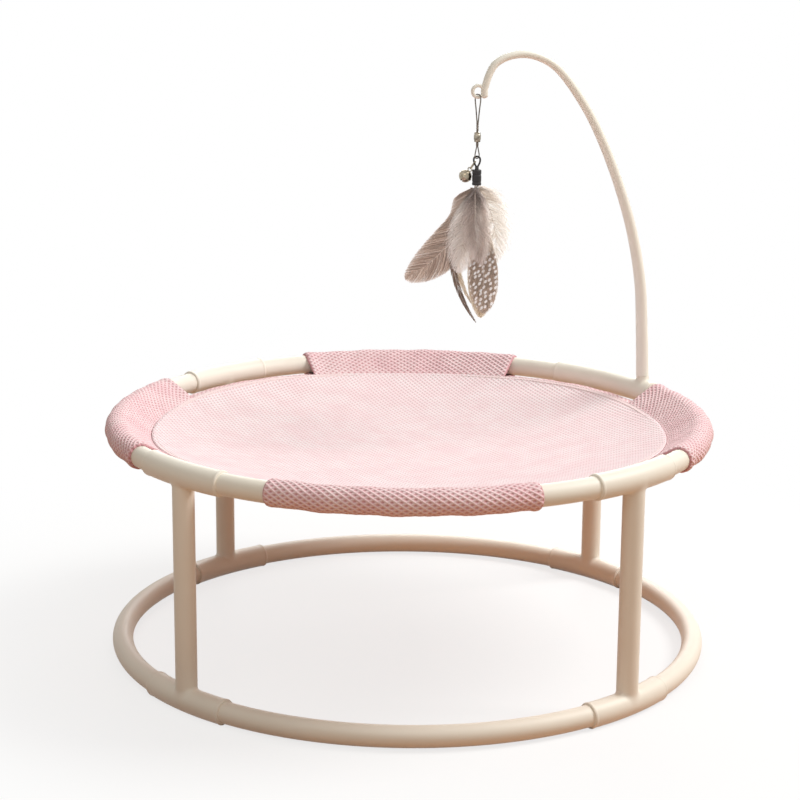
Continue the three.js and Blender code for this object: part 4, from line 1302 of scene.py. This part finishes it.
        return [tape, thread]


@dataclass
class Wand:
    """One bent, tapered rod with a plug below and an eyelet beside its tip."""

    layout: Layout
    reach: float = 152.8
    rise: float = 283.0
    heading: float = 197.5
    base_radius: float = 5.5
    tip_radius: float = 3.0
    tip_round: float = 2.5
    plug_radius: float = 4.2
    plug_depth: float = 17.0
    eyelet_wire: float = 3.0
    eyelet_hole: float = 6.6
    eyelet_out: float = 5.7
    eyelet_lift: float = 3.6
    shares: tuple[tuple[float, float], ...] = (
        (0, 0), (0.0143, 0.152), (0.037, 0.304), (0.115, 0.491), (0.276, 0.716), (0.429, 0.862),
        (0.607, 0.97), (0.782, 1), (0.937, 0.973), (0.999, 0.9), (1, 0.88))

    def build(self) -> None:
        """Builds the rod, its rounded tip, the plug and the eyelet."""
        base, along = self.base(), self.along()
        points = [base + along * (x * self.reach) + np.array([0, 0, z * self.rise]) for x, z in self.shares]
        path = smooth_path(points, 220)
        radii = np.linspace(self.base_radius, self.tip_radius, len(path))
        tangent = (path[-1] - path[-2]) / np.linalg.norm(path[-1] - path[-2])
        cap_turns = np.linspace(0, math.pi / 2, 9)[1:]
        caps = [path[-1] + tangent * self.tip_round * math.sin(t) for t in cap_turns]
        cap_radii = [max(self.tip_radius * math.cos(t), 0.05) for t in cap_turns]
        rod = sweep(np.vstack([path, caps]), np.concatenate([radii, cap_radii]), 32)
        heights = (-self.plug_depth, 0.4 - self.plug_depth, 2.0)
        plug_path = np.array([base + np.array([0, 0, z]) for z in heights])
        plug = sweep(plug_path, [self.plug_radius - 0.4, self.plug_radius, self.plug_radius], 24)
        ring = self.eyelet_centre()
        turns = np.linspace(0, FULL_TURN, 64, endpoint=False)
        size = (self.eyelet_hole + self.eyelet_wire) / 2
        loop = np.array([ring + along * size * math.cos(t) + np.array([0, 0, size * math.sin(t)])
                         for t in turns])
        eyelet = sweep(loop, self.eyelet_wire / 2, 20, closed=True)
        mesh_piece("wand_rod", [rod, plug, eyelet], WAND_PLASTIC.build(), "wand", ["wand"], 50)

    def base(self) -> np.ndarray:
        """Where the rod leaves its socket."""
        angle = math.radians(self.layout.leg_degrees[0]) - self.layout.arc(self.layout.wand_offset)
        x, y, _ = self.layout.on_ring(angle, self.layout.ring_radius - 0.42, 0)
        return np.array([x, y, self.layout.upper_height + self.layout.connector_radius + 4.3])

    def along(self) -> np.ndarray:
        """Level direction in which the rod bends."""
        return level(self.heading)

    def eyelet_centre(self) -> np.ndarray:
        """Middle of the eyelet's hole."""
        lift = self.rise * self.shares[-1][1] + self.eyelet_lift
        return self.base() + self.along() * (self.reach + self.eyelet_out) + np.array([0, 0, lift])


@dataclass
class Hardware:
    """Snap hook, barrel swivel and swivel eye between the wand and the toy."""

    wire: float = 1.1
    hook_width: float = 7.0
    hook_length: float = 23.9
    wrap_length: float = 8.4
    wrap_radius: float = 0.62
    hook_heading: float = -52.0
    eye_heading: float = 38.0
    eye_wire: float = 1.0
    eye_width: float = 4.6
    eye_length: float = 10.4
    eye_neck: float = 3.2
    barrel_length: float = 8.5
    barrel_radius: float = 3.0
    bore_radius: float = 0.9
    end_wall: float = 0.9
    groove: float = 0.35

    def build(self) -> None:
        """Builds the three pieces at the places of their frame nodes."""
        wire = SPRING_WIRE.build()
        self.build_hook(wire)
        self.build_barrel()
        self.build_eye(wire)

    def build_hook(self, wire: bpy.types.Material) -> None:
        """Bends the hook's wire and winds its neck.

        Args:
            wire: The wire's finish.
        """
        _, high, _ = node_place("snap_hook")
        _, barrel_high, axis = node_place("swivel_barrel")
        top = np.array([axis[0], axis[1], high[2] - self.wire / 2])
        half = [(0, 0), (0.85, -0.04), (1.02, -0.17), (0.62, -0.55), (0.17, -1), (0.1, -1.02)]
        bend = bent_wire(half, top, level(self.hook_heading), (self.hook_width, self.hook_length), 120,
                         self.wire / 2, 12)
        coil_top = top[2] - self.hook_length + self.wire
        turns, steps = 6.5, 130
        coil = []
        for i in range(steps + 1):
            angle = FULL_TURN * turns * i / steps
            coil.append((top[0] + self.wrap_radius * math.cos(angle),
                         top[1] + self.wrap_radius * math.sin(angle),
                         coil_top - self.wrap_length * i / steps))
        wraps = sweep(np.array(coil), self.wire / 2, 10)
        head = barrel_high[2] - 1.2
        core = revolve([(0, coil_top + 0.6), (0.62, coil_top + 0.3), (0.55, head + 0.1), (1.5, head),
                        (1.5, head - 0.9), (0, head - 0.9)], 20, (top[0], top[1], 0))
        mesh_piece("hook_wire_bend", [bend, wraps, core], wire, "hook", ["snap_hook"], 50)

    def build_barrel(self) -> None:
        """Turns the hollow barrel with its rolled ends."""
        _, _, centre = node_place("swivel_barrel")
        half, outer, bore = self.barrel_length / 2, self.barrel_radius, self.bore_radius
        deep = half - self.end_wall
        skin = [(outer * (0.66 + 0.34 * math.sqrt(max(0.0, 1 - abs(t) ** 3.2)))
                 - self.groove * math.exp(-((abs(t) - 0.6) / 0.09) ** 2), half * t)
                for t in np.linspace(-1, 1, 49)]
        inner = [(bore, half), (bore, deep), (2.0, deep - 0.05), (2.1, 0), (2.0, 0.05 - deep), (bore, -deep),
                 (bore, -half)]
        barrel = revolve([*skin, *inner], 40, centre)
        mesh_piece("swivel_barrel_shell", [barrel], SWIVEL_PLATE.build(), "barrel", ["swivel_barrel"],
                   50)

    def build_eye(self, wire: bpy.types.Material) -> None:
        """Makes the headed stem and the drop-shaped eye below the barrel.

        Args:
            wire: The wire's finish.
        """
        low, high, _ = node_place("swivel_eye")
        _, _, axis = node_place("swivel_barrel")
        base = np.array([axis[0], axis[1], low[2] + self.eye_wire / 2 + self.eye_length])
        half = [(0, -1), (0.72, -0.95), (1, -0.78), (0.62, -0.36), (0.3, -0.08), (0.2, 0.02)]
        bend = bent_wire(half, base, level(self.eye_heading), (self.eye_width, self.eye_length), 90,
                         self.eye_wire / 2, 12)
        neck, head = base[2] + self.eye_neck, high[2]
        stem = revolve([(0, head), (1.4, head), (1.5, head - 0.1), (1.5, head - 0.9), (0.55, head - 0.95),
                        (0.55, neck), (1.0, neck - 0.3), (1.15, neck - 1.0), (1.15, base[2] + 0.4),
                        (0.7, base[2] - 0.5), (0, base[2] - 0.6)], 24, (axis[0], axis[1], 0))
        mesh_piece("swivel_eye_wire", [bend, stem], wire, "eye", ["swivel_eye"], 50)


class Barbs(Enum):
    """How a feather's barbs lie: hooked into a firm vane, loose and downy, or thin and glossy."""

    VANE = "vane"
    DOWN = "down"
    HACKLE = "hackle"


@dataclass(frozen=True)
class BarbHabit:
    """How barbs of one kind grow: spacing, width, layers and how much each one strays."""

    pitch: float
    ribbon: float
    passes: int
    lean: float
    stray: float
    length_spread: float
    lift: float
    segments: int


HABITS = {
    Barbs.VANE: BarbHabit(0.3, 0.62, 2, 0.78, 0.03, 0.025, 0.25, 6),
    Barbs.DOWN: BarbHabit(0.2, 0.3, 2, 0.9, 0.24, 0.13, 2.2, 8),
    Barbs.HACKLE: BarbHabit(0.35, 0.4, 1, 0.5, 0.06, 0.08, 0.2, 4),
}


@dataclass(frozen=True)
class Feather:
    """One feather of the bunch, in shares of the bunch's length, as the frame's node has it."""

    name: str
    reach: float
    drop: float
    bow: float
    width: float
    widest: float
    barbs: Barbs
    plumage: Plumage
    slot: str
    fluff: float = 0.0


FEATHERS = (
    Feather("pale_feather", 0.042, 0.56, -0.017, 0.19, 0.5, Barbs.DOWN, PALE_PLUMAGE, "feather_white"),
    Feather("grey_feather", -0.12, 0.627, -0.02, 0.22, 0.6, Barbs.DOWN, GREY_PLUMAGE, "feather_mauve"),
    Feather("spotted_feather", 0.068, 0.924, 0.015, 0.21, 0.7, Barbs.VANE, SPOTTED_PLUMAGE,
            "feather_spotted"),
    Feather("brown_hackle", 0.012, 1.0, -0.175, 0.05, 0.45, Barbs.HACKLE, BROWN_PLUMAGE, "feather_brown"),
    Feather("mauve_feather", -0.508, 0.69, 0.1, 0.27, 0.6, Barbs.VANE, MAUVE_PLUMAGE, "feather_mauve",
            fluff=7.0),
    Feather("cream_hackle", -0.02, 0.88, -0.135, 0.05, 0.45, Barbs.HACKLE, CREAM_PLUMAGE, "feather_cream"),
    Feather("cream_feather", 0.05, 0.99, 0.008, 0.18, 0.7, Barbs.VANE, CREAM_PLUMAGE, "feather_cream"),
    Feather("white_feather", 0.15, 0.58, 0.05, 0.25, 0.45, Barbs.DOWN, WHITE_PLUMAGE, "feather_white"),
)


@dataclass
class Quill:
    """Places on one feather: its own flat vane, bent along the quill and seated in the bunch."""

    feather: Feather
    layer: int
    layers: int
    axis: tuple[float, float]
    mouth: float
    bunch_length: float = 118.0
    spacing: float = 0.66
    row: float = 1.1
    fan: float = 0.04
    vane_opening: float = 15.0
    vane_power: float = 0.55

    def length(self) -> float:
        """Straight length from the ferrule's mouth to the tip."""
        return math.hypot(self.feather.reach, self.feather.drop) * self.bunch_length

    def half_width(self, share: np.ndarray) -> np.ndarray:
        """Half the vane's width at shares of the way to the tip."""
        share = np.clip(share, 0, 1)
        power = math.log(0.5) / math.log(self.feather.widest)
        spread = np.sin(math.pi * share ** power) ** self.vane_power
        opening = smoothstep(share * self.length(), 0, self.vane_opening)
        fluff = self.feather.fluff * np.exp(-((share * self.length() - 14) / 12) ** 2)
        return self.feather.width * self.bunch_length / 2 * np.maximum(spread, 0) * opening + fluff

    def spine(self, share: np.ndarray) -> np.ndarray:
        """Sideways place and height of the quill's centre line."""
        reach, drop = (v * self.bunch_length for v in (self.feather.reach, self.feather.drop))
        start = self.row if self.layer % 2 else -self.row
        share = np.asarray(share, float)
        bow = 4 * share * (1 - share) * self.feather.bow * self.bunch_length / self.length()
        return np.stack([start + (reach - start) * share + bow * drop, -drop * share + bow * reach], axis=-1)

    def seat(self, along: np.ndarray, across: np.ndarray, lift: np.ndarray | float) -> np.ndarray:
        """Puts places of the flat vane into the bunch.

        Args:
            along: Millimetres along the quill from the ferrule's mouth.
            across: Millimetres across it.
            lift: Millimetres out of the vane.

        Returns:
            The places in the frame.
        """
        share = along / self.length()
        centre = self.spine(share)
        tangent = self.spine(share + 0.01) - self.spine(share - 0.01)
        tangent = tangent / np.linalg.norm(tangent, axis=-1, keepdims=True)
        x = centre[..., 0] - tangent[..., 1] * across
        z = centre[..., 1] + tangent[..., 0] * across
        place = self.layer - (self.layers - 1) / 2
        start = self.row if self.layer % 2 else -self.row
        fall = np.where(z < 0, np.hypot(x - start, np.minimum(z, 0)), 0)
        depth = place * (self.spacing + self.fan * fall) + lift
        return np.stack([self.axis[0] + x, self.axis[1] + depth, self.mouth + z], axis=-1)


@dataclass
class Toy:
    """Black loop, crimped ferrule and eight feathers, with the bell on its link."""

    loop_heading: float = -20.0
    loop_wire: float = 1.6
    loop_width: float = 5.7
    loop_length: float = 8.5
    shank_length: float = 7.4
    link_seat: tuple[float, float] = (-0.76, -0.64)
    ferrule_radius: float = 3.9
    ferrule_length: float = 13.3
    ferrule_wall: float = 0.7
    quill_grip: float = 7.0
    bell_lean: float = 34.5
    bell_radius: float = 5.5
    bell_wall: float = 0.5
    bead_radius: float = 0.42
    slot_half: float = 0.5
    slot_reach: float = 3.6
    slot_end: float = 0.85
    slot_start: float = 1.0
    link_width: float = 4.6
    link_length: float = 8.0
    link_wire: float = 0.9
    shank_hole: float = 2.6
    pellet_radius: float = 1.2
    clump: int = 9
    axis: tuple[float, float] = (0.0, 0.0)
    mouth: float = 0.0

    def build(self) -> None:
        """Builds the loop, the ferrule, the feathers and the bell."""
        _, _, ferrule = node_place("ferrule")
        self.axis = (ferrule[0], ferrule[1])
        self.mouth = ferrule[2] - self.ferrule_length / 2
        self.build_loop()
        self.build_ferrule()
        horn = QUILL_HORN.build()
        for layer, feather in enumerate(FEATHERS):
            self.build_feather(feather, layer, horn)
        self.build_bell()

    def loop_top(self) -> np.ndarray:
        """Centre of the wire at the top of the toy's loop."""
        _, high, _ = node_place("toy_loop")
        return np.array([*self.axis, high[2] - self.loop_wire / 2])

    def build_loop(self) -> None:
        """Bends the black loop and its shank."""
        top = self.loop_top()
        half = [(0, 0), (0.72, -0.07), (1, -0.3), (0.8, -0.66), (0.25, -1), (0.18, -1.05)]
        bend = bent_wire(half, top, level(self.loop_heading), (self.loop_width, self.loop_length), 90,
                         self.loop_wire / 2, 16)
        low = top[2] - self.loop_length
        shank = revolve([(0, low + 0.8), (1.2, low + 0.4), (1.6, low - 0.2), (1.6, low - self.shank_length),
                         (0, low - self.shank_length)], 24, (top[0], top[1], 0))
        mesh_piece("toy_loop_wire", [bend, shank], BLACK_LACQUER.build(), "toy", ["toy_loop"],
                   50)

    def build_ferrule(self) -> None:
        """Turns the crimped cap with its two rolled grooves and open mouth."""
        outer, inner, high = self.ferrule_radius, self.ferrule_radius - self.ferrule_wall, self.ferrule_length
        skin = []
        for height in np.linspace(0, high, 60):
            grooves = sum(0.34 * math.exp(-((height - g) / 0.5) ** 2) for g in (2.6, 8.8))
            round_top = 0.8 * max(0.0, (height - high + 0.9) / 0.9) ** 2
            round_low = 0.25 * max(0.0, (0.5 - height) / 0.5) ** 2
            skin.append((outer - grooves - round_top - round_low, height))
        bore = [(1.9, high), (1.9, high - 2), (inner, high - 2), (inner, 0)]
        cap = revolve([*skin, *bore], 40, (*self.axis, self.mouth))
        mesh_piece("ferrule_cap", [cap], CRIMP_BLACK.build(), "toy", ["ferrule"], 50)

    def build_feather(self, feather: Feather, layer: int, horn: bpy.types.Material) -> None:
        """Grows one feather: a tapered quill and ribbons for its barbs.

        Args:
            feather: The feather.
            layer: Its place from the front of the bunch to the back.
            horn: The quill's finish.
        """
        quill = Quill(feather, layer, len(FEATHERS), self.axis, self.mouth)
        shares = np.linspace(0, 0.97, 41)
        stalk = quill.seat(shares * quill.length(), 0 * shares, 0.0)
        root = np.array([[stalk[0, 0], stalk[0, 1], self.mouth + self.quill_grip]])
        thick = 0.5 if feather.barbs is Barbs.VANE else 0.36
        shaft = sweep(np.vstack([root, stalk]), np.concatenate([[thick], thick * (1 - 0.85 * shares)]), 8)
        vertices, faces, marks = self.grow_barbs(quill)
        vane = mesh_piece(f"{feather.name}_vane", [(vertices, faces)], feather.plumage.build(), "toy",
                          [feather.name])
        set_attribute(vane, "vane", marks)
        mesh_piece(f"{feather.name}_quill", [shaft], horn, "toy")

    def grow_barbs(self, quill: Quill) -> tuple[np.ndarray, list[tuple[int, ...]], np.ndarray]:
        """Grows ribbons from the quill to the vane's outline, evenly spaced along the outline.

        Args:
            quill: Places on the feather.

        Returns:
            The ribbons' vertices and faces, and the vane attribute's rows.
        """
        habit = HABITS[quill.feather.barbs]
        noise = np.random.default_rng(SEED * 31 + quill.layer)
        length = quill.length()
        shares = np.linspace(0.03, 1, 400)
        outline = np.stack([shares * length, quill.half_width(shares)], axis=1)
        run = np.linalg.norm(np.diff(outline, axis=0), axis=1).sum()
        ends = even_places(outline, int(run / habit.pitch))
        vertices, faces, marks = [], [], []
        t = np.linspace(0, 1, habit.segments + 1)
        start = 0
        for layer in range(habit.passes):
            for side in (-1, 1):
                count = len(ends)
                spread = 1 + noise.normal(0, habit.length_spread, count)
                knots = np.arange(0, count + self.clump, self.clump)
                clumps = np.interp(np.arange(count), knots, noise.normal(0, habit.stray, len(knots)))
                stray = noise.normal(0, 0.5 * habit.stray, count) + clumps
                tip = ends * np.stack([np.ones(count), spread], axis=1)
                tip[:, 0] = np.minimum(tip[:, 0] + noise.normal(0, 0.4, count), length)
                lean = habit.lean * (1 - 0.45 * (ends[:, 0] / length) ** 2) * (1 + stray)
                foot = np.maximum(tip[:, 0] - tip[:, 1] / np.tan(np.clip(lean, 0.2, 1.4)), 0.03 * length)
                middle = (foot + tip[:, 0]) / 2 - 0.12 * tip[:, 1]
                along = (((1 - t) ** 2)[None] * foot[:, None] + (2 * t * (1 - t))[None] * middle[:, None]
                         + (t ** 2)[None] * tip[:, 0][:, None])
                across = (t * (1.18 - 0.18 * t))[None] * tip[:, 1][:, None]
                sway = noise.normal(0, habit.stray * 5, count)[:, None] * np.sin(math.pi * t)[None]
                along = along + sway * 0.6
                lift = noise.normal(0, habit.lift, count)[:, None] * (t ** 1.4)[None]
                apart = (layer - (habit.passes - 1) / 2) * 0.5 * habit.lift
                lift = lift - 0.012 * across ** 2 + apart * t[None]
                slope_a, slope_b = np.gradient(along, axis=1), np.gradient(across, axis=1)
                size = np.maximum(np.hypot(slope_a, slope_b), 1e-6)
                half = habit.ribbon / 2 * (1 - 0.7 * t ** 2)[None]
                twist = noise.normal(0, 0.08, count)[:, None]
                tone = np.repeat(noise.uniform(0, 90, count)[:, None], len(t), axis=1)
                places, rows = [], []
                for edge in (-1, 1):
                    edge_a = along - slope_b / size * half * edge
                    edge_b = side * (across + slope_a / size * half * edge)
                    places.append(quill.seat(edge_a, edge_b, lift + twist * edge))
                    rows.append(np.stack([edge_a, edge_b, tone], axis=2))
                vertices.append(np.stack(places, axis=2).reshape(-1, 3))
                marks.append(np.stack(rows, axis=2).reshape(-1, 3))
                for barb in range(count):
                    first = start + barb * 2 * len(t)
                    faces.extend((first + 2 * k, first + 2 * k + 1, first + 2 * k + 3, first + 2 * k + 2)
                                 for k in range(len(t) - 1))
                start += 2 * count * len(t)
        return np.vstack(vertices), faces, np.vstack(marks)

    def build_bell(self) -> None:
        """Makes the link, the bell's shell with its crossed slots, the shank and the pellet."""
        plate = BELL_PLATE.build()
        turn, lean = math.radians(self.loop_heading), math.radians(self.bell_lean)
        rotation = np.array(Matrix.Rotation(turn, 3, "Z") @ Matrix.Rotation(lean, 3, "Y"))
        across, down = self.link_seat
        seat = (self.loop_top() + level(self.loop_heading) * (across * self.loop_width / 2)
                + np.array([0, 0, down * self.loop_length]))
        top = seat + rotation @ np.array([0, 0, (self.loop_wire + self.link_wire) / 2 + 0.3])
        turns = np.linspace(0, FULL_TURN, 64, endpoint=False)
        half_wide, half_long = self.link_width / 2, self.link_length / 2
        oval = np.stack([0 * turns, half_wide * np.cos(turns), half_long * np.sin(turns) - half_long], axis=1)
        link = sweep(oval @ rotation.T + top, self.link_wire / 2, 12, closed=True)
        mesh_piece("bell_link_wire", [link], plate, "bell", ["bell_link"])
        rise = self.bell_radius + (self.shank_hole + self.link_wire / 2) / 2
        drop = self.link_length + rise + self.shank_hole / 2 - 0.3 - self.link_wire / 2
        centre = top + rotation @ np.array([0, 0, -drop])
        edge = self.bell_radius + 0.8
        axis = np.arange(-edge, edge + 0.01, 0.2)
        vertices, faces = net_surface(self.bell_distance, [axis, axis, axis])
        size = (self.shank_hole + self.link_wire) / 2
        shank_loop = np.stack([size * np.cos(turns), 0 * turns, rise + size * np.sin(turns)], axis=1)
        shank = sweep(shank_loop @ rotation.T + centre, self.link_wire / 2, 10, closed=True)
        mesh_piece("bell_body", [(vertices @ rotation.T + centre, faces), shank], plate, "bell",
                   ["bell_shell"])
        _, _, pellet = node_place("bell_pellet")
        ball = [(self.pellet_radius * abs(math.sin(t)) * (0 < i < 12), self.pellet_radius * math.cos(t))
                for i, t in enumerate(np.linspace(0, math.pi, 13))]
        mesh_piece("bell_pellet_ball", [revolve(ball, 20, pellet)], plate, "pellet", ["bell_pellet"])

    def bell_distance(self, p: np.ndarray) -> np.ndarray:
        """Signed distance to the bell's thin wall with its bead and slots.

        Args:
            p: Places from the bell's middle.

        Returns:
            The distances, negative inside the wall.
        """
        wall = np.abs(np.linalg.norm(p, axis=1) - self.bell_radius + self.bell_wall / 2) - self.bell_wall / 2
        bead = np.hypot(np.hypot(p[:, 0], p[:, 1]) - self.bell_radius, p[:, 2]) - self.bead_radius
        form = union(wall, bead, 0.4)
        below = p[:, 2] + self.slot_start
        for near, far in ((0, 1), (1, 0)):
            slot = np.maximum(np.abs(p[:, near]) - self.slot_half, np.abs(p[:, far]) - self.slot_reach)
            form = intersection(form, -np.maximum(slot, below), 0.15)
            for end in (-1, 1):
                hole = np.hypot(p[:, far] - end * self.slot_reach, p[:, near]) - self.slot_end
                form = intersection(form, -np.maximum(hole, below), 0.15)
        return form


@dataclass(frozen=True)
class Lamp:
    """A soft square lamp: its place, the side of its square, its watts and the tint of its light."""

    name: str
    place: tuple[float, float, float]
    size: float
    power: float
    tint: str


@dataclass
class Studio:
    """Camera at the photograph's place, soft lamps and a plain pale floor."""

    camera_place: tuple[float, float, float] = (0.0, -1663.8, 602.8)
    pitch: float = 13.35
    yaw: float = -0.266
    roll: float = 0.451
    lens: float = 92.75
    target_height: float = 170.0
    lamps: tuple[Lamp, ...] = (
        Lamp("key", (2050.0, 250.0, 2350.0), 1300.0, 71.0, "#fffdfa"),
        Lamp("backlight", (100.0, 1500.0, 900.0), 900.0, 10.0, "#ffffff"),
        Lamp("fill", (-150.0, -850.0, 1100.0), 700.0, 2.6, "#fff8ee"))
    room_tint: str = "#fffaf2"
    room_strength: float = 0.31
    floor_size: float = 9000.0
    shadow_fade: tuple[float, float] = (250.0, 620.0)
    shadow_lift: float = 0.75
    warm_reach: tuple[float, float] = (800.0, 1700.0)
    warm_near: str = "#c08e63"
    warm_far: str = "#ddd6cb"

    def build(self) -> None:
        """Makes the camera, the world, the lamps and the floor."""
        self.build_camera()
        self.build_world()
        for lamp in self.lamps:
            self.add_lamp(lamp)
        self.build_floor()

    def build_camera(self) -> None:
        """Places the camera where the photograph was taken from."""
        data = bpy.data.cameras.new("camera")
        data.sensor_width = 36.0
        data.lens = self.lens
        data.clip_start, data.clip_end = 0.01, 200.0
        camera = bpy.data.objects.new("camera", data)
        bpy.context.scene.collection.objects.link(camera)
        pitch, yaw, roll = (math.radians(v) for v in (self.pitch, self.yaw, self.roll))
        forward = Vector((math.sin(yaw) * math.cos(pitch), math.cos(yaw) * math.cos(pitch), -math.sin(pitch)))
        right = forward.cross(Vector((0, 0, 1))).normalized()
        up = right.cross(forward)
        tilted = right * math.cos(roll) + up * math.sin(roll)
        up = up * math.cos(roll) - right * math.sin(roll)
        turn = Matrix((tilted, up, -forward)).transposed().to_4x4()
        camera.matrix_world = Matrix.Translation(Vector(self.camera_place) * MM) @ turn
        bpy.context.scene.camera = camera

    def seen_share(self, tree: bpy.types.NodeTree) -> bpy.types.NodeSocket:
        """Share that is 1 for rays from the camera, off gloss or through a piece, and 0 for others."""
        path = add_node(tree, "ShaderNodeLightPath")
        plain = add_node(tree, "ShaderNodeMath", {"operation": "MAXIMUM"},
                         {0: path.outputs["Is Camera Ray"], 1: path.outputs["Is Glossy Ray"]})
        return add_node(tree, "ShaderNodeMath", {"operation": "MAXIMUM"},
                        {0: plain.outputs["Value"], 1: path.outputs["Is Transmission Ray"]}).outputs["Value"]

    def build_world(self) -> None:
        """Lights the scene evenly and shows white to the camera."""
        world = bpy.data.worlds.new("studio")
        bpy.context.scene.world = world
        world.use_nodes = True
        tree = world.node_tree
        tree.nodes.clear()
        light = add_node(tree, "ShaderNodeBackground",
                         {"Color": linear(self.room_tint), "Strength": self.room_strength})
        white = add_node(tree, "ShaderNodeBackground", {"Color": (1, 1, 1, 1), "Strength": 1.0})
        mixed = add_node(tree, "ShaderNodeMixShader", links={
            0: self.seen_share(tree), 1: light.outputs["Background"], 2: white.outputs["Background"]})
        add_node(tree, "ShaderNodeOutputWorld", links={"Surface": mixed.outputs["Shader"]})

    def add_lamp(self, lamp: Lamp) -> None:
        """Adds a lamp that faces the hammock.

        Args:
            lamp: The lamp.
        """
        data = bpy.data.lights.new(lamp.name, "AREA")
        data.size = lamp.size * MM
        data.energy = lamp.power
        data.color = linear(lamp.tint)[:3]
        placed = bpy.data.objects.new(lamp.name, data)
        bpy.context.scene.collection.objects.link(placed)
        placed.location = Vector(lamp.place) * MM
        target = Vector((0, 0, self.target_height * MM))
        placed.rotation_euler = (placed.location - target).to_track_quat("Z", "Y").to_euler()

    def build_floor(self) -> None:
        """Lays the floor: white to the eye with the hammock's shadow on it, warm in its bounce."""
        half = self.floor_size / 2 * MM
        mesh = bpy.data.meshes.new("floor")
        corners = [(-half, -half, 0), (half, -half, 0), (half, half, 0), (-half, half, 0)]
        mesh.from_pydata(corners, [], [(0, 1, 2, 3)])
        material = bpy.data.materials.new("pale_floor")
        material.use_nodes = True
        tree = material.node_tree
        tree.nodes.clear()
        white = add_node(tree, "ShaderNodeBsdfDiffuse", {"Color": (0.97, 0.97, 0.97, 1)})
        glow = add_node(tree, "ShaderNodeEmission", {"Color": (1, 1, 1, 1), "Strength": 1.0})
        place = add_node(tree, "ShaderNodeTexCoord").outputs["Object"]
        away = add_node(tree, "ShaderNodeVectorMath", {"operation": "LENGTH"}, {0: place})
        near = add_node(tree, "ShaderNodeMapRange", {
            "interpolation_type": "SMOOTHSTEP",
            "From Min": self.warm_reach[1] * MM, "From Max": self.warm_reach[0] * MM},
            {"Value": away.outputs["Value"]}).outputs["Result"]
        tint = add_node(tree, "ShaderNodeMix", {
            "data_type": "RGBA", 6: linear(self.warm_far), 7: linear(self.warm_near)},
            {0: near}).outputs[2]
        warm = add_node(tree, "ShaderNodeBsdfDiffuse", links={"Color": tint})
        fade = add_node(tree, "ShaderNodeMapRange", {
            "interpolation_type": "SMOOTHSTEP", "From Min": self.shadow_fade[0] * MM,
            "From Max": self.shadow_fade[1] * MM, "To Min": self.shadow_lift},
            {"Value": away.outputs["Value"]})
        shown = add_node(tree, "ShaderNodeMixShader", links={
            0: fade.outputs["Result"], 1: white.outputs["BSDF"], 2: glow.outputs["Emission"]})
        mixed = add_node(tree, "ShaderNodeMixShader", links={
            0: self.seen_share(tree), 1: warm.outputs["BSDF"], 2: shown.outputs["Shader"]})
        add_node(tree, "ShaderNodeOutputMaterial", links={"Surface": mixed.outputs["Shader"]})
        mesh.materials.append(material)
        floor = bpy.data.objects.new("floor", mesh)
        bpy.context.scene.collection.objects.link(floor)


def main() -> None:
    """Builds the studio and every sub-assembly in order."""
    logging.basicConfig(level=logging.INFO, format="%(name)s: %(message)s")
    bpy.context.scene.view_settings.view_transform = "Standard"
    layout = Layout()
    Studio().build()
    for assembly in (RingFrame(layout), Hammock(layout), Wand(layout), Hardware(), Toy()):
        LOG.info("building %s", type(assembly).__name__)
        assembly.build()


if __name__ == "__main__":
    main()
